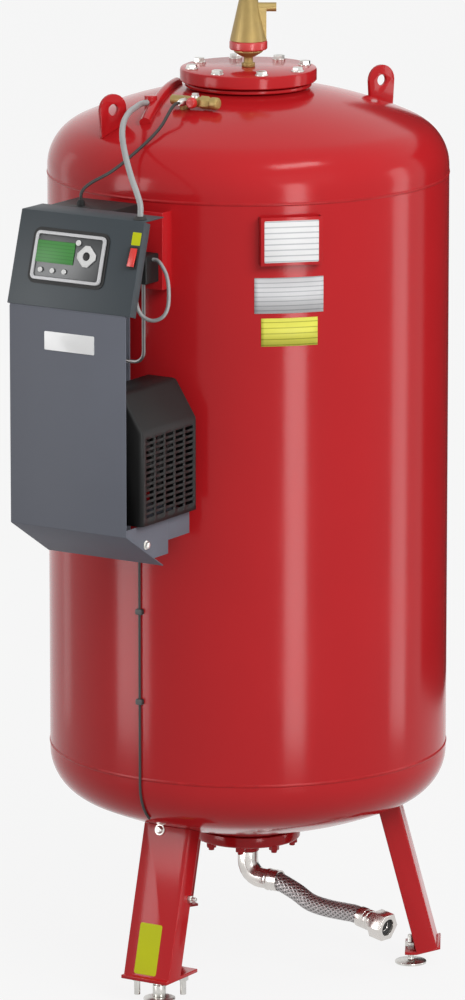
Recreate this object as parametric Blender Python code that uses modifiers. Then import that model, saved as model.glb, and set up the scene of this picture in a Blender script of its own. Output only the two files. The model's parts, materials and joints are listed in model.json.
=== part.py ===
"""Floor-standing expansion vessel with a compressor unit, built as separate parts.

Metres, +Z up. The vessel stands on the floor at z = 0 and its compressor unit faces -Y.
Everything hangs on one empty on the vessel's axis, so places below count from that axis.
"""

import math

import bmesh
import bpy
from mathutils import Matrix, Vector

# Clearances
SEAT = 0.0003              # gap between two parts that rest on each other
RUN = 0.0006               # gap around a part that turns or slides
KEY_GAP = 0.0009           # room behind a key, a little more than its travel
WELD = 0.001               # how far two welded pieces of one part run into each other

# Vessel shell and dished heads
VESSEL_RADIUS = 0.375
SHELL_WALL = 0.005
SHELL_LENGTH = 1.09
FLOOR_TO_SHELL = 0.44
HEAD_SKIRT = 0.012
CROWN_RADIUS = 0.78
KNUCKLE_RADIUS = 0.092
SHELL_STEPS = 48

# Top opening: neck ring, bladder lip and bolted lid
TOP_NECK_RADIUS = 0.085
NECK_WALL = 0.006
NECK_DEPTH = 0.022
NECK_FLANGE = 0.0065
TOP_FLANGE_RADIUS = 0.118
LID_RADIUS = 0.1275
LID_THICKNESS = 0.0245
LID_CHAMFER = 0.003
LID_BORE = 0.0105

# Bottom opening: neck ring, bladder lip, water cover with its socket
LOW_NECK_RADIUS = 0.0625
LOW_FLANGE_RADIUS = 0.0995
COVER_THICKNESS = 0.0205
COVER_CHAMFER = 0.003
SOCKET_RADIUS = 0.0215
SOCKET_LENGTH = 0.028
WATER_BORE = 0.0135

# Bladder
BLADDER_WALL = 0.003
BLADDER_GAP = 0.040
BLADDER_NECK_GAP = 0.004
BLADDER_LIP_INSET = 0.020
BLADDER_TAPER = 0.045
BLADDER_SHOULDER = 0.8      # shoulder radius as a share of the belly radius

# Lifting lugs
LUG_ANGLE = math.radians(23)
LUG_INSET = 0.070
LUG_WIDTH = 0.058
LUG_THICKNESS = 0.008
LUG_EYE_HEIGHT = 0.040
LUG_EYE_RADIUS = 0.0105
LUG_SUNK = 0.050
LUG_ROOT_SHARE = 0.8

# Legs and feet
LEG_WIDTH = 0.100
LEG_DEPTH = 0.040
LEG_SHEET = 0.005
LEG_SPLAY = math.radians(14.8)
LEG_INSET = 0.033
LEG_LENGTH = 0.36
LEG_OVERRUN = 0.030
LEG_FOOT_SLACK = 0.001
PLATE_SHEET = 0.005
PLATE_OVERHANG = 0.006
TAB_LENGTH = 0.0215
TAB_HEIGHT = 0.028
FOOT_DISC_RADIUS = 0.030
FOOT_DISC_HEIGHT = 0.007
STUD_RADIUS = 0.006
STUD_TOP = 0.022
LOCK_NUT_RADIUS = 0.0105
LOCK_NUT_HEIGHT = 0.008
FRONT_PLATE_DEPTH = 0.110
FRONT_PLATE_HEIGHT = 0.047
FRONT_PLATE_SHEET = 0.007
FRONT_PLATE_INSET = 0.029
CUTTER_REACH = 0.6
CELL_RADIUS = 0.0125
CELL_POST_RADIUS = 0.0092
CELL_HEIGHT = 0.022
CELL_FOOT_RADIUS = 0.030
CELL_FOOT_HEIGHT = 0.007
CELL_FOOT_SEAT = 0.004
DISC_EDGE = 0.6             # edge height of a foot disc as a share of its own height

# Nameplate on its stand-off bracket
NAMEPLATE_ANGLE = math.radians(43.6)
NAMEPLATE_Z = 1.4645
NAMEPLATE_WIDTH = 0.114
NAMEPLATE_HEIGHT = 0.089
NAMEPLATE_STANDOFF = 0.016
NAMEPLATE_SHEET = 0.002
BRACKET_ROOT = 0.92         # how far brackets run back into the shell before they are trimmed

# Compressor unit: bracket, spine, shelf and front panel
UNIT_DEPTH = 0.245
UNIT_SHEET = 0.002
BRACKET_SHEET = 0.003
BRACKET_STANDOFF = 0.0235
BRACKET_WIDTH = 0.132
BRACKET_LOW = 1.372
BRACKET_HIGH = 1.515
SPINE_LEFT = -0.110
SPINE_RIGHT = -0.004
SHELF_Z = 0.973
SHELF_GAP = 0.062
PANEL_LEFT = -0.122
PANEL_RIGHT = 0.128
PANEL_LOW = 0.960
PANEL_HIGH = 1.362
LIP_DEPTH = 0.123
LIP_DROP = 0.075
CHEEK_DEPTH = 0.140
CHEEK_TOP = 0.972
CHEEK_LOW = 0.904

# Upper cover and what sits inside it
COVER_LEFT = -0.127
COVER_RIGHT = 0.137
COVER_LOW = 1.3655
COVER_HIGH = 1.5305
COVER_LEAN = math.radians(17)
COVER_SIDE = 0.020
ROOF_DEPTH = 0.065
BOX_LEFT = -0.115
BOX_RIGHT = 0.018
BOX_LOW = 1.385
BOX_DEPTH = 0.118
GLAND_X = -0.064
GLAND_RADIUS = 0.0075
GLAND_MOUTH = 0.0052
GLAND_HEX = 0.006
GLAND_HEIGHT = 0.010
GLAND_INSET = 0.0674
GROMMET_X = 0.117
GROMMET_RADIUS = 0.0125
GROMMET_MOUTH = 0.0094
GROMMET_HEIGHT = 0.006
GROMMET_INSET = 0.016

# Display on the leaning front of the cover, measured right and up along that front
DISPLAY_X = -0.0095
DISPLAY_UP = 0.093
BEZEL_WIDTH = 0.150
BEZEL_HEIGHT = 0.089
BEZEL_RIM = 0.006
BEZEL_DEPTH = 0.006
BEZEL_CORNER = 0.009
FACE_CORNER = 0.004
FACE_DEPTH = 0.003
SCREEN_X = -0.0285
SCREEN_UP = 0.0075
SCREEN_WIDTH = 0.080
SCREEN_HEIGHT = 0.040
SCREEN_DEPTH = 0.0015
KEY_HEIGHT = 0.0028
SOFT_KEY_RADIUS = 0.0048
SOFT_KEY_X = -0.0550
SOFT_KEY_PITCH = 0.0255
SOFT_KEY_UP = -0.0265
MENU_KEY_X = 0.0178
MENU_KEY_UP = 0.0285
MENU_KEY_RADIUS = 0.0055
RING_X = 0.0393
RING_UP = 0.0056
RING_HALF = 0.0195
RING_HOLE = 0.0078
CENTRE_KEY_RADIUS = 0.0070
KEY_EDGE = 0.15             # rounded edge of a key as a share of its radius
RING_POINT = 0.24           # half width of a ring corner as a share of its reach
SWITCH_X = 0.1255
SWITCH_UP = 0.1065
SWITCH_WIDTH = 0.0195
SWITCH_HEIGHT = 0.040
SWITCH_RIM = 0.0022
SWITCH_DEPTH = 0.003
SWITCH_CORNER = 0.002
ROCKER_THICKNESS = 0.003
ROCKER_LIFT = 0.0046
ROCKER_TILT = math.radians(8)

# Compressor: motor, pump head, fan and hood
MOTOR_RADIUS = 0.066
MOTOR_LEFT = -0.100
MOTOR_RIGHT = 0.070
MOTOR_INSET = 0.092
SHAFT_RADIUS = 0.006
SHAFT_END = 0.122
FOOT_RAIL_WIDTH = 0.120
FOOT_RAIL_DEPTH = 0.060
FOOT_RAIL_HEIGHT = 0.034
MOTOR_END_RISE = 0.012
MOTOR_CAP_RISE = 0.006
MOTOR_SHIELD = 0.55         # flat of an end shield as a share of the motor radius
RAIL_SINK = 0.7             # depth of the rail below the shaft as a share of the motor radius
PUMP_LEFT = -0.092
PUMP_RIGHT = -0.022
PUMP_DEPTH = 0.062
PUMP_HIGH = 1.255
PUMP_EDGE = 0.004
FAN_RADIUS = 0.058
FAN_ROOT = 0.020
FAN_BLADES = 7
FAN_LEFT = 0.098
FAN_THICKNESS = 0.016
HOOD_LEFT = 0.040
HOOD_RIGHT = 0.142
HOOD_TOP = 1.215
HOOD_SHOULDER_Z = 1.146
HOOD_SHOULDER_X = 0.098
HOOD_FRONT_GAP = 0.032
HOOD_DEPTH = 0.186
HOOD_WALL = 0.003
HOOD_OPENING = 0.010

# Solenoid valve and delivery pipe behind the cover
VALVE_LEFT = 0.031
VALVE_WIDTH = 0.028
VALVE_DEPTH = 0.044
VALVE_LOW = 1.388
VALVE_HEIGHT = 0.053
VALVE_EDGE = 0.002
VALVE_FEED = 0.3            # place of the feed pipe as a share of the valve width
VALVE_PORT_DROP = 0.009
PIPE_RADIUS = 0.0035
PIPE_BEND = 0.020
PIPE_LEVEL = 1.239

# Air fittings on the upper head
INLET_X = -0.095
INLET_Y = -0.188
INLET_RADIUS = 0.012
INLET_HEIGHT = 0.0226
INLET_PORT_DROP = 0.012
STEM_SUNK = 0.060
BRANCH_X = -0.020
BRANCH_Y = -0.190
BRANCH_STEM_RADIUS = 0.0090
BRANCH_HEIGHT = 0.0145
BRANCH_RADIUS = 0.0095
BRANCH_LEFT = -0.046
BRANCH_RIGHT = 0.017
SENSOR_X = -0.012
SENSOR_RADIUS = 0.0075
SENSOR_LENGTH = 0.022
SENSOR_TIP = 0.0045
SENSOR_SHOULDER = 0.0132
KNOB_RADIUS = 0.0105
KNOB_LENGTH = 0.014
KNOB_NECK = 0.004
KNOB_TIP = 0.0084
KNOB_SHOULDER = 0.0098
SAFETY_RADIUS = 0.0125
SAFETY_LENGTH = 0.022
SAFETY_TIP = 0.00875
SAFETY_SHOULDER = 0.0154
CAP_RADIUS = 0.0115
CAP_LENGTH = 0.015
CAP_TIP = 0.0092
CAP_SHOULDER = 0.012

# Float vent on the lid
NIPPLE_RADIUS = 0.0085
NIPPLE_HEIGHT = 0.0195
NIPPLE_SPIGOT = 0.016
NIPPLE_BORE = 0.004
NIPPLE_FLANGE = 0.004
NIPPLE_FLANGE_HEIGHT = 0.008
VENT_BASE_RADIUS = 0.027
VENT_BASE_HEIGHT = 0.013
VENT_BASE_RIM = 0.004
VENT_COLLAR_RADIUS = 0.0355
VENT_COLLAR_HEIGHT = 0.017
VENT_COLLAR_EDGE = 0.002
VENT_CONE_HEIGHT = 0.078
VENT_TOP_RADIUS = 0.017
VENT_WALL = 0.003
VENT_TURN = math.radians(32)
VENT_OUTLET_RADIUS = 0.0085
VENT_OUTLET_REACH = 0.052
VENT_OUTLET_DROP = 0.016
VENT_CAP_RADIUS = 0.010
VENT_CAP_HEIGHT = 0.017
VENT_CAP_EDGE = 0.003
VENT_RIB_REACH = 0.0335
VENT_RIB_WIDTH = 0.020
FLOAT_RADIUS = 0.011
FLOAT_HEIGHT = 0.036
FLOAT_TIP = 0.0088
FLOAT_SHOULDER = 0.0324
FLOAT_ROOM = 0.006

# Water connection under the vessel
ELBOW_RADIUS = 0.0195
ELBOW_WALL = 0.0035
ELBOW_BEND = 0.032
ELBOW_DROP = 0.0505
ELBOW_REACH = 0.045
HOSE_RADIUS = 0.017
FERRULE_RADIUS = 0.0195
FERRULE_LENGTH = 0.034
TAIL_RADIUS = 0.0120
TAIL_LENGTH = 0.026
TAIL_COLLAR = 0.008
NUT_FLATS = 0.049
NUT_BORE = 0.0165
NUT_LENGTH = 0.030
NUT_OVERHANG = 0.008

# Flexible lines, as hand-chosen points along each route from the vessel's axis
AIR_HOSE_RADIUS = 0.0055
SENSOR_CABLE_RADIUS = 0.003
LOOP_HOSE_RADIUS = 0.0035
CELL_LEAD_RADIUS = 0.0025
CELL_LEAD_WRAP = math.radians(48)
WATER_HOSE_ROUTE = [(0.072, 0.0, 0.166), (0.108, 0.0, 0.152), (0.140, 0.0, 0.136),
                    (0.178, 0.0, 0.130), (0.217, -0.001, 0.129)]
WATER_HOSE_END = Vector((0.252, -0.004, 0.1265))
WATER_HOSE_AIM = Vector((0.97, -0.13, -0.16)).normalized()
AIR_HOSE_ROUTE = [(0.110, -0.554, 1.580), (0.095, -0.548, 1.605), (0.073, -0.532, 1.637),
                  (0.045, -0.500, 1.6655), (0.014, -0.450, 1.679), (-0.022, -0.385, 1.681),
                  (-0.055, -0.320, 1.680), (-0.077, -0.265, 1.679)]
SENSOR_CABLE_ROUTE = [(-0.0118, -0.246, 1.680), (-0.0112, -0.262, 1.668), (-0.0100, -0.281, 1.6545),
                      (-0.0098, -0.305, 1.6415), (-0.0145, -0.335, 1.6250), (-0.0200, -0.365, 1.6100),
                      (-0.0270, -0.398, 1.5940), (-0.0360, -0.419, 1.5825), (-0.0450, -0.435, 1.5750),
                      (-0.0540, -0.4515, 1.5675), (-0.0605, -0.464, 1.5590), (-0.0634, -0.4698, 1.5510)]
LOOP_HOSE_ROUTE = [(0.0815, -0.430, 1.4275), (0.0985, -0.437, 1.4090), (0.107, -0.443, 1.384),
                   (0.109, -0.449, 1.354), (0.1012, -0.4545, 1.3353), (0.0825, -0.460, 1.3275),
                   (0.0638, -0.465, 1.3353), (0.056, -0.470, 1.354), (0.0553, -0.474, 1.378),
                   (0.0515, -0.4775, 1.400), (0.0415, -0.480, 1.4170)]
LINE_STUBS = {"hose": 0.012, "grommet": 0.020, "inlet": 0.022, "sensor": 0.010, "gland": 0.006, "loop": 0.008}
LOOP_END_RISE = 0.0065
HOSE_END_STUB = 0.015

# Levels and places that follow from the sizes above
BLADDER_RADIUS = VESSEL_RADIUS - BLADDER_GAP
LUG_PITCH_RADIUS = VESSEL_RADIUS - LUG_INSET
LEG_FOOT_RADIUS = VESSEL_RADIUS - LEG_INSET
FRONT_PLATE_RADIUS = LEG_FOOT_RADIUS - FRONT_PLATE_INSET
TOP_WELD_Z = FLOOR_TO_SHELL + SHELL_LENGTH
CROWN_DROP = math.sqrt((CROWN_RADIUS - KNUCKLE_RADIUS) ** 2 - (VESSEL_RADIUS - KNUCKLE_RADIUS) ** 2)
CROWN_EDGE = math.asin((VESSEL_RADIUS - KNUCKLE_RADIUS) / (CROWN_RADIUS - KNUCKLE_RADIUS))
AXIS_Y = UNIT_DEPTH / 2
PANEL_Y = -(VESSEL_RADIUS + UNIT_DEPTH)
BRACKET_Y = -(VESSEL_RADIUS + BRACKET_STANDOFF)
SPINE_BACK_Y = BRACKET_Y - BRACKET_SHEET / 2 - SEAT
SPINE_FRONT_Y = SPINE_BACK_Y - BRACKET_SHEET
MOTOR_Y = SPINE_FRONT_Y - MOTOR_INSET
SHELF_TOP = SHELF_Z + UNIT_SHEET / 2
MOTOR_Z = SHELF_TOP + SEAT + MOTOR_RADIUS + FOOT_RAIL_HEIGHT


def clear_scene():
    for item in list(bpy.data.objects):
        bpy.data.objects.remove(item, do_unlink=True)


clear_scene()
parts = bpy.data.collections.new("expansion_vessel")
cutters = bpy.data.collections.new("cutters")
bpy.context.scene.collection.children.link(parts)
bpy.context.scene.collection.children.link(cutters)


def empty(name, location=(0, 0, 0), rotation=(0, 0, 0), parent=None):
    item = bpy.data.objects.new(name, None)
    item.location = location
    item.rotation_euler = rotation
    item.parent = parent
    parts.objects.link(item)
    return item


axis = empty("vessel_axis", (0, AXIS_Y, 0))


def finish(name, colour, roughness, metallic=0.0):
    material = bpy.data.materials.new(name)
    material.use_nodes = True
    shader = material.node_tree.nodes["Principled BSDF"]
    shader.inputs["Base Color"].default_value = (*colour, 1.0)
    shader.inputs["Roughness"].default_value = roughness
    shader.inputs["Metallic"].default_value = metallic
    material.diffuse_color = (*colour, 1.0)
    return material


RED = finish("vessel_red", (0.53, 0.030, 0.030), 0.25)
GREY = finish("panel_grey", (0.14, 0.145, 0.165), 0.45)
DARK_GREY = finish("cover_grey", (0.080, 0.098, 0.112), 0.45)
BLACK = finish("black_plastic", (0.025, 0.025, 0.025), 0.5)
RUBBER = finish("black_rubber", (0.02, 0.02, 0.02), 0.8)
SILVER = finish("silver_trim", (0.55, 0.55, 0.56), 0.35, 0.6)
ZINC = finish("zinc_steel", (0.60, 0.60, 0.58), 0.35, 1.0)
BRASS = finish("brass", (0.60, 0.42, 0.16), 0.3, 1.0)
GREEN = finish("green_screen", (0.08, 0.36, 0.08), 0.3)
KEY_WHITE = finish("key_white", (0.70, 0.70, 0.70), 0.5)
SIGNAL_RED = finish("signal_red", (0.75, 0.03, 0.02), 0.4)
HOSE_GREY = finish("hose_grey", (0.36, 0.37, 0.37), 0.6)
BRAID = finish("steel_braid", (0.42, 0.40, 0.40), 0.4, 0.8)


def settle(item, material, location, rotation, parent, collection=None):
    """Puts a new object in its collection with its material, place and parent."""
    (collection or parts).objects.link(item)
    if material:
        item.data.materials.append(material)
    item.location = location
    item.rotation_euler = rotation
    item.parent = parent or axis
    return item


def hide_as_cutter(item):
    parts.objects.unlink(item)
    cutters.objects.link(item)
    item.hide_render = True
    item.display_type = "WIRE"
    return item


def boolean(item, other, operation):
    step = item.modifiers.new(operation.lower(), "BOOLEAN")
    step.operation = operation
    step.solver = "EXACT"
    step.object = other


def turned(name, profile, material, steps=24, closed=False, location=(0, 0, 0),
           rotation=(0, 0, 0), parent=None):
    """A turned part: its half section, run down the outer side, spun about Z."""
    mesh = bpy.data.meshes.new(name)
    edges = [(i, i + 1) for i in range(len(profile) - 1)]
    if closed:
        edges.append((len(profile) - 1, 0))
    mesh.from_pydata([(radius, 0, z) for radius, z in profile], edges, [])
    item = settle(bpy.data.objects.new(name, mesh), material, location, rotation, parent)
    screw = item.modifiers.new("turn", "SCREW")
    screw.steps = steps
    screw.render_steps = steps
    screw.use_merge_vertices = True
    screw.merge_threshold = 0.00001
    screw.use_smooth_shade = True
    return item


def block(name, low, high, material, location=(0, 0, 0), rotation=(0, 0, 0), parent=None, bevel=0.0):
    """A rectangular part between two corners of its own frame."""
    mesh = bpy.data.meshes.new(name)
    shape = bmesh.new()
    size = Vector(high) - Vector(low)
    middle = (Vector(high) + Vector(low)) / 2
    bmesh.ops.create_cube(shape, size=1.0, matrix=Matrix.Translation(middle) @ Matrix.Diagonal((*size, 1)))
    shape.to_mesh(mesh)
    shape.free()
    item = settle(bpy.data.objects.new(name, mesh), material, location, rotation, parent)
    if bevel:
        edge = item.modifiers.new("edges", "BEVEL")
        edge.width = bevel
        edge.segments = 1
    return item


def folded_sheet(name, path, run, thickness, material, location=(0, 0, 0), rotation=(0, 0, 0), parent=None):
    """A sheet bent along a path and drawn out along one direction, thickened about its middle."""
    mesh = bpy.data.meshes.new(name)
    shape = bmesh.new()
    corners = [shape.verts.new(point) for point in path]
    edges = [shape.edges.new(pair) for pair in zip(corners, corners[1:])]
    drawn = bmesh.ops.extrude_edge_only(shape, edges=edges)
    moved = [part for part in drawn["geom"] if isinstance(part, bmesh.types.BMVert)]
    bmesh.ops.translate(shape, verts=moved, vec=Vector(run))
    shape.to_mesh(mesh)
    shape.free()
    item = settle(bpy.data.objects.new(name, mesh), material, location, rotation, parent)
    wall = item.modifiers.new("sheet", "SOLIDIFY")
    wall.thickness = thickness
    wall.offset = 0.0
    wall.use_even_offset = True
    return item


def flat_outline(name, outlines, thickness, material, location=(0, 0, 0), rotation=(0, 0, 0), parent=None):
    """A flat plate cut to an outline, with holes as further outlines, centred on its own plane."""
    curve = bpy.data.curves.new(name, "CURVE")
    curve.dimensions = "2D"
    curve.fill_mode = "BOTH"
    curve.extrude = thickness / 2
    for outline in outlines:
        spline = curve.splines.new("POLY")
        spline.points.add(len(outline) - 1)
        for point, place in zip(spline.points, outline):
            point.co = (*place, 0, 1)
        spline.use_cyclic_u = True
    return settle(bpy.data.objects.new(name, curve), material, location, rotation, parent)


def as_mesh(item):
    """Swaps a curve for the mesh it makes, so that it can be cut or joined."""
    bpy.context.view_layer.update()
    made = bpy.data.meshes.new_from_object(item.evaluated_get(bpy.context.evaluated_depsgraph_get()))
    shape = bmesh.new()
    shape.from_mesh(made)
    bmesh.ops.remove_doubles(shape, verts=shape.verts, dist=0.00001)
    shape.to_mesh(made)
    shape.free()
    name = item.name
    place = item.matrix_world.copy()
    parent = item.parent
    bpy.data.objects.remove(item, do_unlink=True)
    solid = bpy.data.objects.new(name, made)
    parts.objects.link(solid)
    solid.parent = parent
    solid.matrix_world = place
    return solid


def tube(name, points, radius, material, resolution=2, caps=True):
    """A round bar or hose along a run of points."""
    curve = bpy.data.curves.new(name, "CURVE")
    curve.dimensions = "3D"
    curve.bevel_depth = radius
    curve.bevel_resolution = resolution
    curve.use_fill_caps = caps
    spline = curve.splines.new("POLY")
    spline.points.add(len(points) - 1)
    for point, place in zip(spline.points, points):
        point.co = (*place, 1)
    return settle(bpy.data.objects.new(name, curve), material, (0, 0, 0), (0, 0, 0), None)


def smooth_route(points, spacing):
    """Points a spacing apart on a smooth curve through a route's own points."""
    knots = [Vector(point) for point in points]
    ends = [2 * knots[0] - knots[1], *knots, 2 * knots[-1] - knots[-2]]
    route = []
    for before, start, end, after in zip(ends, ends[1:], ends[2:], ends[3:]):
        count = max(1, round((end - start).length / spacing))
        for step in range(count):
            t = step / count
            bend = 2 * before - 5 * start + 4 * end - after
            swing = 3 * start - before - 3 * end + after
            route.append((2 * start + (end - before) * t + bend * t * t + swing * t ** 3) / 2)
    return [*route, knots[-1]]


def circle(radius, count=24, centre=(0.0, 0.0), start=0.0):
    turns = [start + 2 * math.pi * i / count for i in range(count)]
    return [(centre[0] + radius * math.cos(t), centre[1] + radius * math.sin(t)) for t in turns]


def rounded_rectangle(width, height, radius, steps=4):
    points = []
    for quarter, (sx, sy) in enumerate([(1, 1), (-1, 1), (-1, -1), (1, -1)]):
        for step in range(steps + 1):
            turn = math.pi / 2 * (quarter + step / steps)
            points.append((sx * (width / 2 - radius) + radius * math.cos(turn),
                           sy * (height / 2 - radius) + radius * math.sin(turn)))
    return points


def heading(x, y, z):
    """The rotation that turns a part's own +Z to a direction."""
    return Vector((x, y, z)).to_track_quat("Z", "Y").to_euler()


def head_height(radius):
    """How far a dished head stands past its weld at a radius from the axis."""
    if radius > KNUCKLE_RADIUS * math.sin(CROWN_EDGE) + VESSEL_RADIUS - KNUCKLE_RADIUS:
        across = radius - (VESSEL_RADIUS - KNUCKLE_RADIUS)
        return HEAD_SKIRT + math.sqrt(KNUCKLE_RADIUS ** 2 - across ** 2)
    return HEAD_SKIRT + math.sqrt(CROWN_RADIUS ** 2 - radius ** 2) - CROWN_DROP


def top_of_head(radius):
    return TOP_WELD_Z + head_height(radius)


def under_head(radius):
    return FLOOR_TO_SHELL - head_height(radius)


def head_section(inset, opening, crown_steps=5, knuckle_steps=4):
    """Points of a head's section from its opening out to its weld, set in from the outer face."""
    crown = CROWN_RADIUS - inset
    first = math.asin(opening / crown)
    points = []
    for step in range(crown_steps):
        turn = first + (CROWN_EDGE - first) * step / crown_steps
        points.append((crown * math.sin(turn), HEAD_SKIRT + crown * math.cos(turn) - CROWN_DROP))
    knuckle = KNUCKLE_RADIUS - inset
    for step in range(knuckle_steps + 1):
        turn = CROWN_EDGE + (math.pi / 2 - CROWN_EDGE) * step / knuckle_steps
        points.append((VESSEL_RADIUS - KNUCKLE_RADIUS + knuckle * math.sin(turn),
                       HEAD_SKIRT + knuckle * math.cos(turn)))
    points.append((VESSEL_RADIUS - inset, 0.0))
    return points


def make_vessel():
    """The welded pressure shell: a rolled cylinder and two dished heads with neck openings."""
    turned("shell_cylinder", [(VESSEL_RADIUS, TOP_WELD_Z - SEAT), (VESSEL_RADIUS, FLOOR_TO_SHELL + SEAT),
                              (VESSEL_RADIUS - SHELL_WALL, FLOOR_TO_SHELL + SEAT),
                              (VESSEL_RADIUS - SHELL_WALL, TOP_WELD_Z - SEAT)], RED, SHELL_STEPS, True)
    outer = head_section(0.0, TOP_NECK_RADIUS + SEAT)
    inner = head_section(SHELL_WALL, TOP_NECK_RADIUS + SEAT)
    upper = [(r, TOP_WELD_Z + z) for r, z in outer + list(reversed(inner))]
    turned("upper_head", upper, RED, SHELL_STEPS, True)
    outer = head_section(0.0, LOW_NECK_RADIUS + SEAT)
    inner = head_section(SHELL_WALL, LOW_NECK_RADIUS + SEAT)
    lower = [(r, FLOOR_TO_SHELL - z) for r, z in list(reversed(outer)) + inner]
    turned("lower_head", lower, RED, SHELL_STEPS, True)


def make_vessel_cutter():
    """The vessel's outside as one solid, a seat larger, that trims what is welded on to it."""
    outer = [(r + SEAT, z) for r, z in head_section(0.0, 0.0, 24, 15)[1:]]
    apex = head_height(0.0) + SEAT
    upper = [(0.0, TOP_WELD_Z + apex)] + [(r, TOP_WELD_Z + z + SEAT) for r, z in outer[:-1]]
    lower = [(r, FLOOR_TO_SHELL - z - SEAT) for r, z in reversed(outer[:-1])] + [(0.0, FLOOR_TO_SHELL - apex)]
    return hide_as_cutter(turned("vessel_outside", upper + lower, None, SHELL_STEPS))


def make_top_opening():
    """Neck ring welded in the upper head, and the thick bolted lid over the bladder's lip."""
    flange_low = top_of_head(TOP_NECK_RADIUS) + SEAT
    flange_high = flange_low + NECK_FLANGE
    bore = TOP_NECK_RADIUS - NECK_WALL
    turned("top_neck", [(TOP_FLANGE_RADIUS, flange_high), (TOP_FLANGE_RADIUS, flange_low),
                        (TOP_NECK_RADIUS, flange_low), (TOP_NECK_RADIUS, flange_low - NECK_DEPTH),
                        (bore, flange_low - NECK_DEPTH), (bore, flange_high)], RED, 40, True)
    low = flange_high + BLADDER_WALL + 2 * SEAT
    high = low + LID_THICKNESS
    turned("lid", [(LID_RADIUS - LID_CHAMFER, high), (LID_RADIUS, high - LID_CHAMFER), (LID_RADIUS, low),
                   (LID_BORE, low), (LID_BORE, high)], RED, 48, True)
    return flange_high, high


def make_bottom_opening():
    """Neck ring welded in the lower head, and the bolted water cover with its threaded socket."""
    flange_high = under_head(LOW_NECK_RADIUS) - SEAT
    flange_low = flange_high - NECK_FLANGE
    bore = LOW_NECK_RADIUS - NECK_WALL
    turned("bottom_neck", [(LOW_NECK_RADIUS, flange_high + NECK_DEPTH), (LOW_NECK_RADIUS, flange_high),
                           (LOW_FLANGE_RADIUS, flange_high), (LOW_FLANGE_RADIUS, flange_low),
                           (bore, flange_low), (bore, flange_high + NECK_DEPTH)], RED, 40, True)
    high = flange_low - BLADDER_WALL - 2 * SEAT
    low = high - COVER_THICKNESS
    turned("water_cover", [(LOW_FLANGE_RADIUS, high), (LOW_FLANGE_RADIUS, low + COVER_CHAMFER),
                           (LOW_FLANGE_RADIUS - COVER_CHAMFER, low), (SOCKET_RADIUS, low),
                           (SOCKET_RADIUS, low - SOCKET_LENGTH), (WATER_BORE, low - SOCKET_LENGTH),
                           (WATER_BORE, high)], RED, 40, True)
    return flange_low, low - SOCKET_LENGTH


def make_bladder(lip_low_z, lip_high_z):
    """Rubber bag that holds the water: its two lips are clamped under the lid and the water cover."""
    top_neck = TOP_NECK_RADIUS - NECK_WALL - BLADDER_NECK_GAP
    low_neck = LOW_NECK_RADIUS - NECK_WALL - BLADDER_NECK_GAP
    top = lip_high_z + SEAT
    low = lip_low_z - SEAT
    belly_top = TOP_WELD_Z + HEAD_SKIRT
    belly_low = FLOOR_TO_SHELL - HEAD_SKIRT
    shoulder = BLADDER_RADIUS * BLADDER_SHOULDER
    outer = [(top_neck, top), (top_neck, top - 2 * NECK_DEPTH), (shoulder, belly_top + BLADDER_TAPER),
             (BLADDER_RADIUS, belly_top - BLADDER_TAPER), (BLADDER_RADIUS, belly_low + BLADDER_TAPER),
             (shoulder, belly_low - BLADDER_TAPER), (low_neck, low + 2 * NECK_DEPTH), (low_neck, low)]
    inner = [(r - BLADDER_WALL, z) for r, z in outer]
    top_lip = TOP_FLANGE_RADIUS - BLADDER_LIP_INSET
    low_lip = LOW_FLANGE_RADIUS - BLADDER_LIP_INSET
    lips = [(top_lip, top + BLADDER_WALL), (top_lip, top)]
    foot = [(low_lip, low), (low_lip, low - BLADDER_WALL)]
    inner[0] = (inner[0][0], top + BLADDER_WALL)
    inner[-1] = (inner[-1][0], low - BLADDER_WALL)
    turned("bladder", lips + outer + foot + list(reversed(inner)), RUBBER, 24, True)


def make_lifting_lugs(vessel):
    """Two eye plates welded upright on the upper head, opposite each other and in line with the axis."""
    base = top_of_head(LUG_PITCH_RADIUS)
    eye_z = base + LUG_EYE_HEIGHT
    half = LUG_WIDTH / 2
    arch = [(half * math.cos(math.pi * i / 12), half * math.sin(math.pi * i / 12)) for i in range(13)]
    narrow = half * LUG_ROOT_SHARE
    outline = arch + [(-narrow, -LUG_EYE_HEIGHT - LUG_SUNK), (narrow, -LUG_EYE_HEIGHT - LUG_SUNK)]
    for name, turn in (("lifting_lug_front", -LUG_ANGLE), ("lifting_lug_rear", math.pi - LUG_ANGLE)):
        place = (LUG_PITCH_RADIUS * math.sin(turn), -LUG_PITCH_RADIUS * math.cos(turn), eye_z)
        lug = as_mesh(flat_outline(name, [outline, circle(LUG_EYE_RADIUS, 16)], LUG_THICKNESS, RED,
                                   place, (math.pi / 2, 0, turn + math.pi / 2)))
        boolean(lug, vessel, "DIFFERENCE")


def leg_frame(number):
    """An upright frame on the floor below a leg, with its own +Y pointing outward."""
    return empty(f"leg_frame_{number}", (0, 0, 0), (0, 0, math.pi - number * 2 * math.pi / 3), axis)


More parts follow.
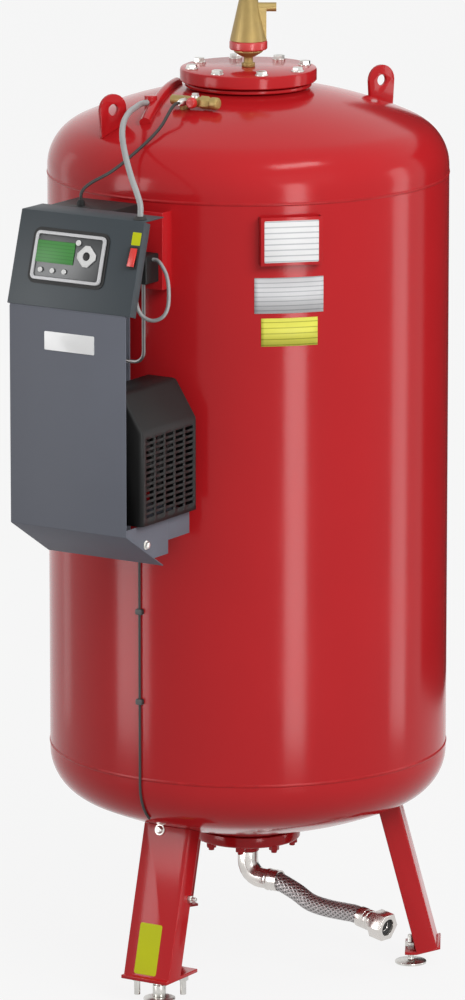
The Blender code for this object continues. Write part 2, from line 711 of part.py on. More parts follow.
def make_legs(vessel):
    """Three splayed channel legs, trimmed to the lower head. The front one stands on a load cell."""
    half = LEG_WIDTH / 2 - LEG_SHEET / 2
    web = LEG_DEPTH / 2 - LEG_SHEET / 2
    channel = [(-half, -LEG_DEPTH / 2), (-half, web), (half, web), (half, -LEG_DEPTH / 2)]
    rise = math.tan(LEG_SPLAY)
    half_foot = LEG_DEPTH / 2 * math.cos(LEG_SPLAY)
    bend = LEG_FOOT_RADIUS - half_foot - LEG_FOOT_SLACK
    tab_middle = TAB_HEIGHT + PLATE_SHEET / 2
    outer = LEG_FOOT_RADIUS + half_foot + PLATE_OVERHANG
    skin = PLATE_SHEET / 2 / math.cos(LEG_SPLAY)
    foot_z = tab_middle + (LEG_FOOT_RADIUS - bend) * rise + skin - WELD
    names = ("leg_front", "leg_rear_left", "leg_rear_right")
    feet = []
    for number, name in enumerate(names):
        upright = leg_frame(number)
        overrun = LEG_OVERRUN if number == 0 else 0.0
        leg = folded_sheet(name, [(x, y, -overrun) for x, y in channel], (0, 0, LEG_LENGTH + overrun),
                           LEG_SHEET, RED, (0, LEG_FOOT_RADIUS, foot_z), (LEG_SPLAY, 0, 0), upright)
        boolean(leg, vessel, "DIFFERENCE")
        if number == 0:
            plate_top = FRONT_PLATE_HEIGHT + FRONT_PLATE_SHEET
            below = block("below_front_leg", (-CUTTER_REACH, 0, -CUTTER_REACH),
                          (CUTTER_REACH, CUTTER_REACH, plate_top - WELD), None, parent=upright)
            boolean(leg, hide_as_cutter(below), "DIFFERENCE")
            half_plate = FRONT_PLATE_DEPTH / 2
            back = FRONT_PLATE_RADIUS - half_plate
            plate = block("front_base_plate", (-LEG_WIDTH / 2, back, FRONT_PLATE_HEIGHT),
                          (LEG_WIDTH / 2, back + FRONT_PLATE_DEPTH, plate_top), None, parent=upright)
            boolean(leg, hide_as_cutter(plate), "UNION")
            continue
        path = [(-LEG_WIDTH / 2, bend - TAB_LENGTH, tab_middle), (-LEG_WIDTH / 2, bend, tab_middle),
                (-LEG_WIDTH / 2, outer, tab_middle + (outer - bend) * rise)]
        plate = folded_sheet(f"base_plate_{number}", path, (LEG_WIDTH, 0, 0), PLATE_SHEET, None,
                             parent=upright)
        boolean(leg, hide_as_cutter(plate), "UNION")
        stud_y = bend - TAB_LENGTH / 2
        hole = STUD_RADIUS + SEAT
        bore = turned(f"stud_hole_{number}", [(0, LEG_WIDTH), (hole, LEG_WIDTH), (hole, 0), (0, 0)], None, 16,
                      location=(0, stud_y, 0), parent=upright)
        boolean(leg, hide_as_cutter(bore), "DIFFERENCE")
        feet.append((name.replace("leg", "levelling_foot"), upright, stud_y))
    return feet


def make_levelling_feet(feet):
    """Screw feet of the rear legs: a disc on the floor, a lock nut under the tab and a threaded stud."""
    nut_top = TAB_HEIGHT - SEAT
    nut_low = nut_top - LOCK_NUT_HEIGHT
    stud_top = TAB_HEIGHT + PLATE_SHEET + STUD_TOP
    section = [(0, stud_top), (STUD_RADIUS, stud_top), (STUD_RADIUS, nut_top), (LOCK_NUT_RADIUS, nut_top),
               (LOCK_NUT_RADIUS, nut_low), (STUD_RADIUS, nut_low), (STUD_RADIUS, FOOT_DISC_HEIGHT),
               (FOOT_DISC_RADIUS, FOOT_DISC_HEIGHT * DISC_EDGE), (FOOT_DISC_RADIUS, 0), (0, 0)]
    for name, upright, stud_y in feet:
        turned(name, section, ZINC, 20, location=(0, stud_y, 0), parent=upright)


def make_load_cell():
    """Weighing foot of the front leg: a cell with a loading post, seated in a disc on the floor."""
    place = (0, -FRONT_PLATE_RADIUS, 0)
    foot_high = CELL_FOOT_HEIGHT
    low = foot_high + SEAT
    shoulder = low + CELL_HEIGHT
    high = FRONT_PLATE_HEIGHT - SEAT
    turned("load_cell", [(0, high), (CELL_POST_RADIUS, high), (CELL_POST_RADIUS, shoulder),
                         (CELL_RADIUS, shoulder), (CELL_RADIUS, low), (0, low)], ZINC, 20, location=place)
    seat = CELL_RADIUS + CELL_FOOT_SEAT
    turned("load_cell_foot", [(0, foot_high), (seat, foot_high), (CELL_FOOT_RADIUS, foot_high * DISC_EDGE),
                              (CELL_FOOT_RADIUS, 0), (0, 0)], ZINC, 24, location=place)


def make_cell_lead():
    """Thin lead clipped down the front of the shell, from behind the unit to the front leg."""
    stand = VESSEL_RADIUS + CELL_LEAD_RADIUS + SEAT
    low_r = VESSEL_RADIUS - KNUCKLE_RADIUS
    reach = KNUCKLE_RADIUS + CELL_LEAD_RADIUS + SEAT
    points = [(0, -stand, PANEL_LOW), (0, -stand, FLOOR_TO_SHELL - HEAD_SKIRT)]
    steps = 5
    for step in range(1, steps + 1):
        turn = CELL_LEAD_WRAP * step / steps
        drop = reach * math.sin(turn)
        points.append((0, -low_r - reach * math.cos(turn), FLOOR_TO_SHELL - HEAD_SKIRT - drop))
    tube("load_cell_lead", points, CELL_LEAD_RADIUS, RUBBER)


def make_nameplate(vessel):
    """Stand-off channel for the rating plate, welded on the shell."""
    side = empty("nameplate_frame", (0, 0, 0), (0, 0, NAMEPLATE_ANGLE), axis)
    front = -(VESSEL_RADIUS + NAMEPLATE_STANDOFF)
    half = NAMEPLATE_WIDTH / 2 - NAMEPLATE_SHEET / 2
    low = NAMEPLATE_Z - NAMEPLATE_HEIGHT / 2
    back = -VESSEL_RADIUS * BRACKET_ROOT
    path = [(-half, back, low), (-half, front, low), (half, front, low), (half, back, low)]
    bracket = folded_sheet("nameplate_bracket", path, (0, 0, NAMEPLATE_HEIGHT), NAMEPLATE_SHEET, RED,
                           parent=side)
    boolean(bracket, vessel, "DIFFERENCE")


def make_unit_frame(vessel):
    """Red hat bracket on the shell, the unit's spine bolted to it and the shelf for the compressor."""
    half = BRACKET_WIDTH / 2 - BRACKET_SHEET / 2
    back = -VESSEL_RADIUS * BRACKET_ROOT
    path = [(-half, back, BRACKET_LOW), (-half, BRACKET_Y, BRACKET_LOW), (half, BRACKET_Y, BRACKET_LOW),
            (half, back, BRACKET_LOW)]
    bracket = folded_sheet("unit_bracket", path, (0, 0, BRACKET_HIGH - BRACKET_LOW), BRACKET_SHEET, RED)
    boolean(bracket, vessel, "DIFFERENCE")
    block("unit_spine", (SPINE_LEFT, SPINE_FRONT_Y, PANEL_LOW - LIP_DROP),
          (SPINE_RIGHT, SPINE_BACK_Y, BRACKET_HIGH), GREY)
    left = PANEL_LEFT + UNIT_SHEET + SEAT + UNIT_SHEET / 2
    right = PANEL_RIGHT - UNIT_SHEET - SEAT - UNIT_SHEET / 2
    front = PANEL_Y + SHELF_GAP
    lip_low = PANEL_LOW - SHELF_GAP * LIP_DROP / LIP_DEPTH + 3 * UNIT_SHEET
    path = [(left, front, lip_low), (left, front, SHELF_Z), (right, front, SHELF_Z), (right, front, lip_low)]
    folded_sheet("compressor_shelf", path, (0, SPINE_FRONT_Y - SEAT - front, 0), UNIT_SHEET, GREY)


def make_front_panel():
    """Lower front panel with its slanted bottom lip and two side cheeks that screw to the shelf."""
    face = PANEL_Y + UNIT_SHEET / 2
    path = [(PANEL_LEFT, face, PANEL_HIGH), (PANEL_LEFT, face, PANEL_LOW),
            (PANEL_LEFT, face + LIP_DEPTH, PANEL_LOW - LIP_DROP)]
    panel = folded_sheet("front_panel", path, (PANEL_RIGHT - PANEL_LEFT, 0, 0), UNIT_SHEET, GREY)
    cheek_back = face + CHEEK_DEPTH
    low_at_back = PANEL_LOW - LIP_DROP * (CHEEK_DEPTH / LIP_DEPTH)
    low_y = face + (PANEL_LOW - CHEEK_LOW) * LIP_DEPTH / LIP_DROP
    outline = [(face, PANEL_LOW), (low_y, CHEEK_LOW), (cheek_back, max(CHEEK_LOW, low_at_back)),
               (cheek_back, CHEEK_TOP), (face, CHEEK_TOP)]
    upright = (math.pi / 2, 0, math.pi / 2)
    sides = (("left_cheek", PANEL_LEFT + UNIT_SHEET / 2), ("right_cheek", PANEL_RIGHT - UNIT_SHEET / 2))
    for name, x in sides:
        cheek = as_mesh(flat_outline(name, [outline], UNIT_SHEET, None, (x, 0, 0), upright))
        boolean(panel, hide_as_cutter(cheek), "UNION")


def make_upper_cover():
    """Leaning sheet cover of the controls: front, roof and two narrow side returns in one sheet."""
    lean = math.tan(COVER_LEAN)
    inset = UNIT_SHEET / 2
    low_y = PANEL_Y + inset / math.cos(COVER_LEAN)
    high = COVER_HIGH - inset
    high_y = low_y + (high - COVER_LOW) * lean
    mesh = bpy.data.meshes.new("upper_cover")
    shape = bmesh.new()
    width = COVER_RIGHT - COVER_LEFT - UNIT_SHEET
    left = COVER_LEFT + inset
    corners = [shape.verts.new(place) for place in ((left, low_y, COVER_LOW), (left, high_y, high),
                                                    (left, high_y + ROOF_DEPTH, high))]
    edges = [shape.edges.new(pair) for pair in zip(corners, corners[1:])]
    drawn = bmesh.ops.extrude_edge_only(shape, edges=edges)
    moved = [part for part in drawn["geom"] if isinstance(part, bmesh.types.BMVert)]
    bmesh.ops.translate(shape, verts=moved, vec=(width, 0, 0))
    upright = [edge for edge in shape.edges
               if abs(edge.verts[0].co.x - edge.verts[1].co.x) < SEAT
               and abs(edge.verts[0].co.z - edge.verts[1].co.z) > SEAT]
    drawn = bmesh.ops.extrude_edge_only(shape, edges=upright)
    moved = [part for part in drawn["geom"] if isinstance(part, bmesh.types.BMVert)]
    inward = Vector((0, math.cos(COVER_LEAN), -math.sin(COVER_LEAN)))
    bmesh.ops.translate(shape, verts=moved, vec=COVER_SIDE * inward)
    bmesh.ops.recalc_face_normals(shape, faces=shape.faces)
    shape.to_mesh(mesh)
    shape.free()
    cover = settle(bpy.data.objects.new("upper_cover", mesh), DARK_GREY, (0, 0, 0), (0, 0, 0), None)
    wall = cover.modifiers.new("sheet", "SOLIDIFY")
    wall.thickness = UNIT_SHEET
    wall.offset = 0.0
    wall.use_even_offset = True
    box_top = COVER_HIGH - UNIT_SHEET - SEAT
    box = block("control_box", (BOX_LEFT, SPINE_FRONT_Y - SEAT - BOX_DEPTH, BOX_LOW),
                (BOX_RIGHT, SPINE_FRONT_Y - SEAT, box_top), BLACK)
    gland_top = box_top + GLAND_HEIGHT
    gland_y = SPINE_FRONT_Y - SEAT - GLAND_INSET
    gland = turned("cable_gland", [(0, gland_top), (GLAND_MOUTH, gland_top),
                                   (GLAND_RADIUS, box_top + GLAND_HEX), (GLAND_RADIUS, box_top - WELD),
                                   (0, box_top - WELD)], None, 12, location=(GLAND_X, gland_y, 0))
    boolean(box, hide_as_cutter(gland), "UNION")
    roof = COVER_HIGH + SEAT
    grommet_y = high_y + GROMMET_INSET
    grommet_top = roof + GROMMET_HEIGHT
    turned("roof_grommet", [(0, grommet_top), (GROMMET_MOUTH, grommet_top), (GROMMET_RADIUS, roof),
                            (0, roof)], RUBBER, 16, location=(GROMMET_X, grommet_y, 0))
    return (GLAND_X, gland_y, gland_top), (GROMMET_X, grommet_y, grommet_top)


def make_display():
    """Control display and keys on the cover's leaning front, in a frame whose +Z points out of it."""
    origin = (0, PANEL_Y, COVER_LOW)
    front = empty("cover_front", origin, (math.pi / 2 - COVER_LEAN, 0, 0), axis)
    board = empty("display_frame", (DISPLAY_X, DISPLAY_UP, 0), (0, 0, 0), front)
    bezel_z = SEAT + BEZEL_DEPTH / 2
    inner_width = BEZEL_WIDTH - 2 * BEZEL_RIM
    inner_height = BEZEL_HEIGHT - 2 * BEZEL_RIM
    flat_outline("display_bezel", [rounded_rectangle(BEZEL_WIDTH, BEZEL_HEIGHT, BEZEL_CORNER),
                                   rounded_rectangle(inner_width, inner_height, FACE_CORNER)], BEZEL_DEPTH,
                 SILVER, (0, 0, bezel_z), parent=board)
    face_width = inner_width - 2 * SEAT
    face_height = inner_height - 2 * SEAT
    flat_outline("display_face", [rounded_rectangle(face_width, face_height, FACE_CORNER)], FACE_DEPTH, BLACK,
                 (0, 0, SEAT + FACE_DEPTH / 2), parent=board)
    face_top = SEAT + FACE_DEPTH
    block("display_screen", (-SCREEN_WIDTH / 2, -SCREEN_HEIGHT / 2, 0),
          (SCREEN_WIDTH / 2, SCREEN_HEIGHT / 2, SCREEN_DEPTH), GREEN, (SCREEN_X, SCREEN_UP, face_top + SEAT),
          parent=board)
    key_z = face_top + KEY_GAP
    round_keys = [("menu_key", MENU_KEY_X, MENU_KEY_UP, MENU_KEY_RADIUS),
                  ("enter_key", RING_X, RING_UP, CENTRE_KEY_RADIUS)]
    for number in range(3):
        x = SOFT_KEY_X + number * SOFT_KEY_PITCH
        round_keys.append((f"soft_key_{number + 1}", x, SOFT_KEY_UP, SOFT_KEY_RADIUS))
    for name, x, up, radius in round_keys:
        edge = radius * KEY_EDGE
        turned(name, [(0, KEY_HEIGHT), (radius - edge, KEY_HEIGHT), (radius, KEY_HEIGHT - edge), (radius, 0),
                      (0, 0)],
               BLACK if name == "enter_key" else KEY_WHITE, 12, location=(x, up, key_z), parent=board)
    point = RING_HALF * RING_POINT
    diamond = []
    for quarter in range(4):
        turn = Matrix.Rotation(quarter * math.pi / 2, 2)
        diamond += [tuple(turn @ Vector((RING_HALF, -point))), tuple(turn @ Vector((RING_HALF, point)))]
    flat_outline("navigation_ring", [diamond, circle(RING_HOLE, 16)], KEY_HEIGHT, KEY_WHITE,
                 (RING_X, RING_UP, key_z + KEY_HEIGHT / 2), parent=board)
    switch = empty("switch_frame_place", (SWITCH_X, SWITCH_UP, 0), (0, 0, 0), front)
    open_width = SWITCH_WIDTH - 2 * SWITCH_RIM
    open_height = SWITCH_HEIGHT - 2 * SWITCH_RIM
    frame = rounded_rectangle(SWITCH_WIDTH, SWITCH_HEIGHT, SWITCH_CORNER, 2)
    opening = rounded_rectangle(open_width, open_height, SWITCH_CORNER / 2, 1)
    flat_outline("switch_frame", [frame, opening], SWITCH_DEPTH, BLACK, (0, 0, SEAT + SWITCH_DEPTH / 2),
                 parent=switch)
    half_width = open_width / 2 - RUN
    half_height = open_height / 2 - RUN
    block("main_switch_rocker", (-half_width, -half_height, -ROCKER_THICKNESS / 2),
          (half_width, half_height, ROCKER_THICKNESS / 2), SIGNAL_RED, (0, 0, ROCKER_LIFT),
          (-ROCKER_TILT, 0, 0), switch)


def make_compressor():
    """Motor on a foot rail, pump head behind it, fan on the motor shaft and the hood round the fan."""
    rail_low = SHELF_TOP + SEAT
    turn = (0, math.pi / 2, 0)
    end = MOTOR_RIGHT + MOTOR_END_RISE
    cap = MOTOR_LEFT - MOTOR_CAP_RISE
    shield = MOTOR_RADIUS * MOTOR_SHIELD
    section = [(0, SHAFT_END), (SHAFT_RADIUS, SHAFT_END), (SHAFT_RADIUS, end), (shield, end),
               (MOTOR_RADIUS, MOTOR_RIGHT), (MOTOR_RADIUS, MOTOR_LEFT), (shield, cap), (0, cap)]
    motor = turned("compressor_motor", section, BLACK, 28, location=(0, MOTOR_Y, MOTOR_Z), rotation=turn)
    middle = (MOTOR_LEFT + MOTOR_RIGHT) / 2
    rail_high = MOTOR_Z - MOTOR_RADIUS * RAIL_SINK
    rail = block("motor_rail", (middle - FOOT_RAIL_WIDTH / 2, MOTOR_Y - FOOT_RAIL_DEPTH / 2, rail_low),
                 (middle + FOOT_RAIL_WIDTH / 2, MOTOR_Y + FOOT_RAIL_DEPTH / 2, rail_high), None)
    boolean(motor, hide_as_cutter(rail), "UNION")
    pump_low = MOTOR_Z + MOTOR_RADIUS + SEAT
    pump_back = SPINE_FRONT_Y - SEAT
    block("pump_head", (PUMP_LEFT, pump_back - PUMP_DEPTH, pump_low), (PUMP_RIGHT, pump_back, PUMP_HIGH),
          SILVER, bevel=PUMP_EDGE)
    blades = []
    for number in range(FAN_BLADES):
        start = 2 * math.pi * number / FAN_BLADES
        spread = math.pi / FAN_BLADES
        for share, radius in ((0.0, FAN_ROOT), (0.25, FAN_RADIUS), (0.85, FAN_RADIUS), (1.1, FAN_ROOT)):
            lead = start + share * spread
            blades.append((radius * math.cos(lead), radius * math.sin(lead)))
    flat_outline("cooling_fan", [blades, circle(SHAFT_RADIUS + RUN / 2, 16)], FAN_THICKNESS, BLACK,
                 (FAN_LEFT + FAN_THICKNESS / 2, MOTOR_Y, MOTOR_Z), turn)
    hood_front = PANEL_Y + HOOD_FRONT_GAP
    hood_low = SHELF_TOP + SEAT
    outside = [(HOOD_RIGHT, hood_low), (HOOD_RIGHT, HOOD_SHOULDER_Z), (HOOD_SHOULDER_X, HOOD_TOP),
               (HOOD_LEFT, HOOD_TOP), (HOOD_LEFT, hood_low)]
    hood = as_mesh(flat_outline("compressor_hood", [outside], HOOD_DEPTH, BLACK,
                                (0, hood_front + HOOD_DEPTH / 2, 0), (math.pi / 2, 0, 0)))
    inner_right = HOOD_RIGHT - HOOD_WALL
    inner_top = HOOD_TOP - HOOD_WALL
    open_left = HOOD_LEFT - HOOD_OPENING
    open_low = hood_low - HOOD_OPENING
    room = [(inner_right, open_low), (inner_right, HOOD_SHOULDER_Z - HOOD_WALL / 2),
            (HOOD_SHOULDER_X - HOOD_WALL / 2, inner_top), (open_left, inner_top), (open_left, open_low)]
    inside = as_mesh(flat_outline("hood_inside", [room], HOOD_DEPTH - 2 * HOOD_WALL, None,
                                  (0, hood_front + HOOD_DEPTH / 2, 0), (math.pi / 2, 0, 0)))
    boolean(hood, hide_as_cutter(inside), "DIFFERENCE")


def make_valve_and_pipe():
    """Solenoid valve on the red bracket, and the metal pipe that feeds it from the pump head."""
    back = BRACKET_Y - BRACKET_SHEET / 2 - SEAT
    right = VALVE_LEFT + VALVE_WIDTH
    high = VALVE_LOW + VALVE_HEIGHT
    block("solenoid_valve", (VALVE_LEFT, back - VALVE_DEPTH, VALVE_LOW), (right, back, high), BLACK,
          bevel=VALVE_EDGE)
    x = VALVE_LEFT + VALVE_WIDTH * VALVE_FEED
    y = back - VALVE_DEPTH / 2
    points = [(x, y, VALVE_LOW - SEAT)]
    steps = 5
    for step in range(steps + 1):
        turn = math.pi / 2 * step / steps
        bend_x = x - PIPE_BEND * (1 - math.cos(turn))
        points.append((bend_x, y, PIPE_LEVEL + PIPE_BEND * (1 - math.sin(turn))))
    points.append((PUMP_RIGHT + SEAT, y, PIPE_LEVEL))
    tube("delivery_pipe", points, PIPE_RADIUS, ZINC)
    return (right, y, high - VALVE_PORT_DROP)


def make_air_fittings(vessel):
    """Air inlet boss, and the branch with its sensor, shut-off knob and safety valve on the upper head."""
    inlet_top = top_of_head(math.hypot(INLET_X, INLET_Y)) + INLET_HEIGHT
    inlet_low = inlet_top - STEM_SUNK
    inlet = turned("air_inlet", [(0, inlet_top), (INLET_RADIUS, inlet_top), (INLET_RADIUS, inlet_low),
                                 (0, inlet_low)], RED, 16, location=(INLET_X, INLET_Y, 0))
    boolean(inlet, vessel, "DIFFERENCE")
    level = top_of_head(math.hypot(BRANCH_X, BRANCH_Y)) + BRANCH_HEIGHT
    sideways = (0, math.pi / 2, 0)
    forward = (math.pi / 2, 0, 0)
    branch = turned("air_branch", [(0, BRANCH_RIGHT), (BRANCH_RADIUS, BRANCH_RIGHT),
                                   (BRANCH_RADIUS, BRANCH_LEFT), (0, BRANCH_LEFT)], BRASS, 16,
                    location=(0, BRANCH_Y, level), rotation=sideways)
    stem_low = level - STEM_SUNK
    stem = turned("branch_stem", [(0, level), (BRANCH_STEM_RADIUS, level), (BRANCH_STEM_RADIUS, stem_low),
                                  (0, stem_low)], None, 16, location=(BRANCH_X, BRANCH_Y, 0))
    boolean(branch, hide_as_cutter(stem), "UNION")
    boolean(branch, vessel, "DIFFERENCE")
    sensor_y = BRANCH_Y - BRANCH_RADIUS - SEAT
    turned("pressure_sensor", [(0, SENSOR_LENGTH), (SENSOR_TIP, SENSOR_LENGTH),
                               (SENSOR_RADIUS, SENSOR_SHOULDER), (SENSOR_RADIUS, 0), (0, 0)], ZINC, 12,
           location=(SENSOR_X, sensor_y, level), rotation=forward)
    turned("shut_off_knob", [(0, KNOB_LENGTH), (KNOB_TIP, KNOB_LENGTH), (KNOB_RADIUS, KNOB_SHOULDER),
                             (KNOB_RADIUS, KNOB_NECK), (KNOB_RADIUS / 2, 0), (0, 0)], SIGNAL_RED, 14,
           location=(BRANCH_RIGHT - KNOB_RADIUS, sensor_y, level), rotation=forward)
    body_x = BRANCH_RIGHT + SEAT
    turned("safety_valve_body", [(0, SAFETY_LENGTH), (SAFETY_TIP, SAFETY_LENGTH),
                                 (SAFETY_RADIUS, SAFETY_SHOULDER), (SAFETY_RADIUS, 0), (0, 0)], BRASS, 6,
           location=(body_x, BRANCH_Y, level), rotation=sideways)
    cap_x = body_x + SAFETY_LENGTH + SEAT
    turned("safety_valve_cap", [(0, CAP_LENGTH), (CAP_TIP, CAP_LENGTH), (CAP_RADIUS, CAP_SHOULDER),
                                (CAP_RADIUS, 0), (0, 0)], BRASS, 12, location=(cap_x, BRANCH_Y, level),
           rotation=sideways)
    sensor_end = (SENSOR_X, sensor_y - SENSOR_LENGTH, level)
    return (INLET_X, INLET_Y - INLET_RADIUS, inlet_top - INLET_PORT_DROP), sensor_end


def make_float_vent(lid_top):
    """Automatic float vent on the lid: base with its nipple, red collar, hollow cone and float."""
    high = lid_top + NIPPLE_HEIGHT
    base_high = high + VENT_BASE_HEIGHT
    hexagon = NIPPLE_RADIUS + NIPPLE_FLANGE
    flange_top = lid_top + NIPPLE_FLANGE_HEIGHT
    spigot = LID_BORE - SEAT
    spigot_low = lid_top - NIPPLE_SPIGOT
    turned("vent_base", [(VENT_BASE_RADIUS, base_high), (VENT_BASE_RADIUS, base_high - VENT_BASE_RIM),
                         (hexagon, high), (NIPPLE_RADIUS, high), (NIPPLE_RADIUS, flange_top),
                         (hexagon, flange_top), (hexagon, lid_top + SEAT), (spigot, lid_top + SEAT),
                         (spigot, spigot_low), (NIPPLE_BORE, spigot_low), (NIPPLE_BORE, base_high)],
           BRASS, 24, True)
    collar_low = base_high + SEAT
    collar_high = collar_low + VENT_COLLAR_HEIGHT
    collar_bore = FLOAT_RADIUS + FLOAT_ROOM
    edge = VENT_COLLAR_EDGE
    turned("vent_collar", [(VENT_COLLAR_RADIUS - edge, collar_high), (VENT_COLLAR_RADIUS, collar_high - edge),
                           (VENT_COLLAR_RADIUS, collar_low + edge), (VENT_COLLAR_RADIUS - edge, collar_low),
                           (collar_bore, collar_low), (collar_bore, collar_high)], SIGNAL_RED, 24, True)
    cone_low = collar_high + SEAT
    cone_high = cone_low + VENT_CONE_HEIGHT
    cap_high = cone_high + VENT_CAP_HEIGHT
    foot = VENT_COLLAR_RADIUS - edge / 2
    cone = turned("vent_body", [(0, cap_high), (VENT_CAP_RADIUS - VENT_CAP_EDGE, cap_high),
                                (VENT_CAP_RADIUS, cap_high - VENT_CAP_EDGE), (VENT_CAP_RADIUS, cone_high),
                                (VENT_TOP_RADIUS, cone_high), (foot, cone_low), (0, cone_low)], BRASS, 24)
    level = cone_high - VENT_OUTLET_DROP
    along = heading(math.cos(VENT_TURN), math.sin(VENT_TURN), 0)
    root = VENT_TOP_RADIUS / 2
    outlet = turned("vent_outlet", [(0, VENT_OUTLET_REACH), (VENT_OUTLET_RADIUS, VENT_OUTLET_REACH),
                                    (VENT_OUTLET_RADIUS, root), (0, root)], None, 12,
                    location=(0, 0, level), rotation=along)
    boolean(cone, hide_as_cutter(outlet), "UNION")
    half = VENT_RIB_WIDTH / 2
    rib = block("vent_rib", (0, -half, cone_low), (VENT_RIB_REACH, half, level), None,
                rotation=(0, 0, VENT_TURN))
    boolean(cone, hide_as_cutter(rib), "UNION")
    room_high = cone_high - VENT_WALL
    room_low = cone_low - VENT_WALL
    room = turned("vent_room", [(0, room_high), (VENT_TOP_RADIUS - VENT_WALL, room_high),
                                (foot - VENT_WALL, cone_low), (foot - VENT_WALL, room_low), (0, room_low)],
                  None, 24)
    boolean(cone, hide_as_cutter(room), "DIFFERENCE")
    turned("vent_float", [(0, FLOAT_HEIGHT), (FLOAT_TIP, FLOAT_HEIGHT), (FLOAT_RADIUS, FLOAT_SHOULDER),
                          (FLOAT_RADIUS, 0), (0, 0)], KEY_WHITE, 14, location=(0, 0, base_high + SEAT))


def make_water_connection(socket_low):
    """Elbow in the socket under the vessel, the end piece of the water hose and its loose union nut."""
    start = socket_low - SEAT
    level = start - ELBOW_DROP
    points = [(0, 0, start), (0, 0, level + ELBOW_BEND)]
    steps = 6
    for step in range(1, steps + 1):
        turn = math.pi / 2 * step / steps
        points.append((ELBOW_BEND * (1 - math.cos(turn)), 0, level + ELBOW_BEND * (1 - math.sin(turn))))
    points.append((ELBOW_REACH, 0, level))
    elbow = tube("water_elbow", points, ELBOW_RADIUS, ZINC, 3, caps=False)
    wall = elbow.modifiers.new("wall", "SOLIDIFY")
    wall.thickness = ELBOW_WALL
    wall.offset = -1.0
    aim = heading(*WATER_HOSE_AIM)
    place = WATER_HOSE_END + WATER_HOSE_AIM * SEAT
    tail_end = FERRULE_LENGTH + TAIL_LENGTH
    collar = NUT_BORE - RUN
    collar_low = tail_end - TAIL_COLLAR
    turned("hose_tail", [(0, tail_end), (collar, tail_end), (collar, collar_low), (TAIL_RADIUS, collar_low),
                         (TAIL_RADIUS, FERRULE_LENGTH), (FERRULE_RADIUS, FERRULE_LENGTH), (FERRULE_RADIUS, 0),
                         (0, 0)], ZINC, 18, location=place, rotation=aim)
    nut_middle = tail_end + NUT_OVERHANG - NUT_LENGTH / 2
    hexagon = circle(NUT_FLATS / math.sqrt(3), 6)
    flat_outline("union_nut", [hexagon, circle(NUT_BORE, 18)], NUT_LENGTH, ZINC,
                 place + WATER_HOSE_AIM * nut_middle, aim)
    return Vector((ELBOW_REACH, 0, level))


def straight_end(place, direction, length):
    """A line's end a seat away from its fitting, and a point further out that keeps it square there."""
    out = Vector(direction)
    start = Vector(place) + out * SEAT
    return start, start + out * length


def make_flexible_lines(hose_start, gland_top, grommet_top, sensor_end, inlet_side, valve_side):
    """The free hoses and the sensor cable, each on a smooth curve between its two fittings."""
    elbow_end = straight_end(hose_start, (1, 0, 0), LINE_STUBS["hose"])
    before_tail = WATER_HOSE_END - WATER_HOSE_AIM * HOSE_END_STUB
    route = [*elbow_end, *WATER_HOSE_ROUTE, before_tail, WATER_HOSE_END]
    tube("water_hose", smooth_route(route, 2 * HOSE_RADIUS), HOSE_RADIUS, BRAID, 3)
    grommet, above_grommet = straight_end(grommet_top, (0, 0, 1), LINE_STUBS["grommet"])
    inlet, before_inlet = straight_end(inlet_side, (0, -1, 0), LINE_STUBS["inlet"])
    route = [grommet, above_grommet, *AIR_HOSE_ROUTE, before_inlet, inlet]
    tube("air_hose", smooth_route(route, 5 * AIR_HOSE_RADIUS), AIR_HOSE_RADIUS, HOSE_GREY)
    sensor, off_sensor = straight_end(sensor_end, (0, -1, 0), LINE_STUBS["sensor"])
    gland, above_gland = straight_end(gland_top, (0, 0, 1), LINE_STUBS["gland"])
    route = [sensor, off_sensor, *SENSOR_CABLE_ROUTE, above_gland, gland]
    tube("sensor_cable", smooth_route(route, 5 * SENSOR_CABLE_RADIUS), SENSOR_CABLE_RADIUS, RUBBER)
    valve, off_valve = straight_end(valve_side, (1, 0, 0), LINE_STUBS["loop"])
    box_side = (BOX_RIGHT, LOOP_HOSE_ROUTE[-1][1], LOOP_HOSE_ROUTE[-1][2] + LOOP_END_RISE)
    box, off_box = straight_end(box_side, (1, 0, 0), LINE_STUBS["loop"])
    route = [valve, off_valve, *LOOP_HOSE_ROUTE, off_box, box]
    tube("loop_hose", smooth_route(route, 4 * LOOP_HOSE_RADIUS), LOOP_HOSE_RADIUS, HOSE_GREY)


make_vessel()
vessel_outside = make_vessel_cutter()
top_flange_z, lid_top_z = make_top_opening()
bottom_flange_z, socket_end_z = make_bottom_opening()
make_bladder(bottom_flange_z, top_flange_z)
make_lifting_lugs(vessel_outside)
make_levelling_feet(make_legs(vessel_outside))
make_load_cell()
make_cell_lead()
make_nameplate(vessel_outside)
make_unit_frame(vessel_outside)
make_front_panel()
gland_place, grommet_place = make_upper_cover()
make_display()
make_compressor()
valve_port = make_valve_and_pipe()
inlet_port, sensor_port = make_air_fittings(vessel_outside)
make_float_vent(lid_top_z)
hose_place = make_water_connection(socket_end_z)
make_flexible_lines(hose_place, gland_place, grommet_place, sensor_port, inlet_port, valve_port)
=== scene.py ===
"""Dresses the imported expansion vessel: gloss paint, bolts, labels, hoses, light and camera."""

import json
import math

import bmesh
import bpy
from mathutils import Matrix, Vector

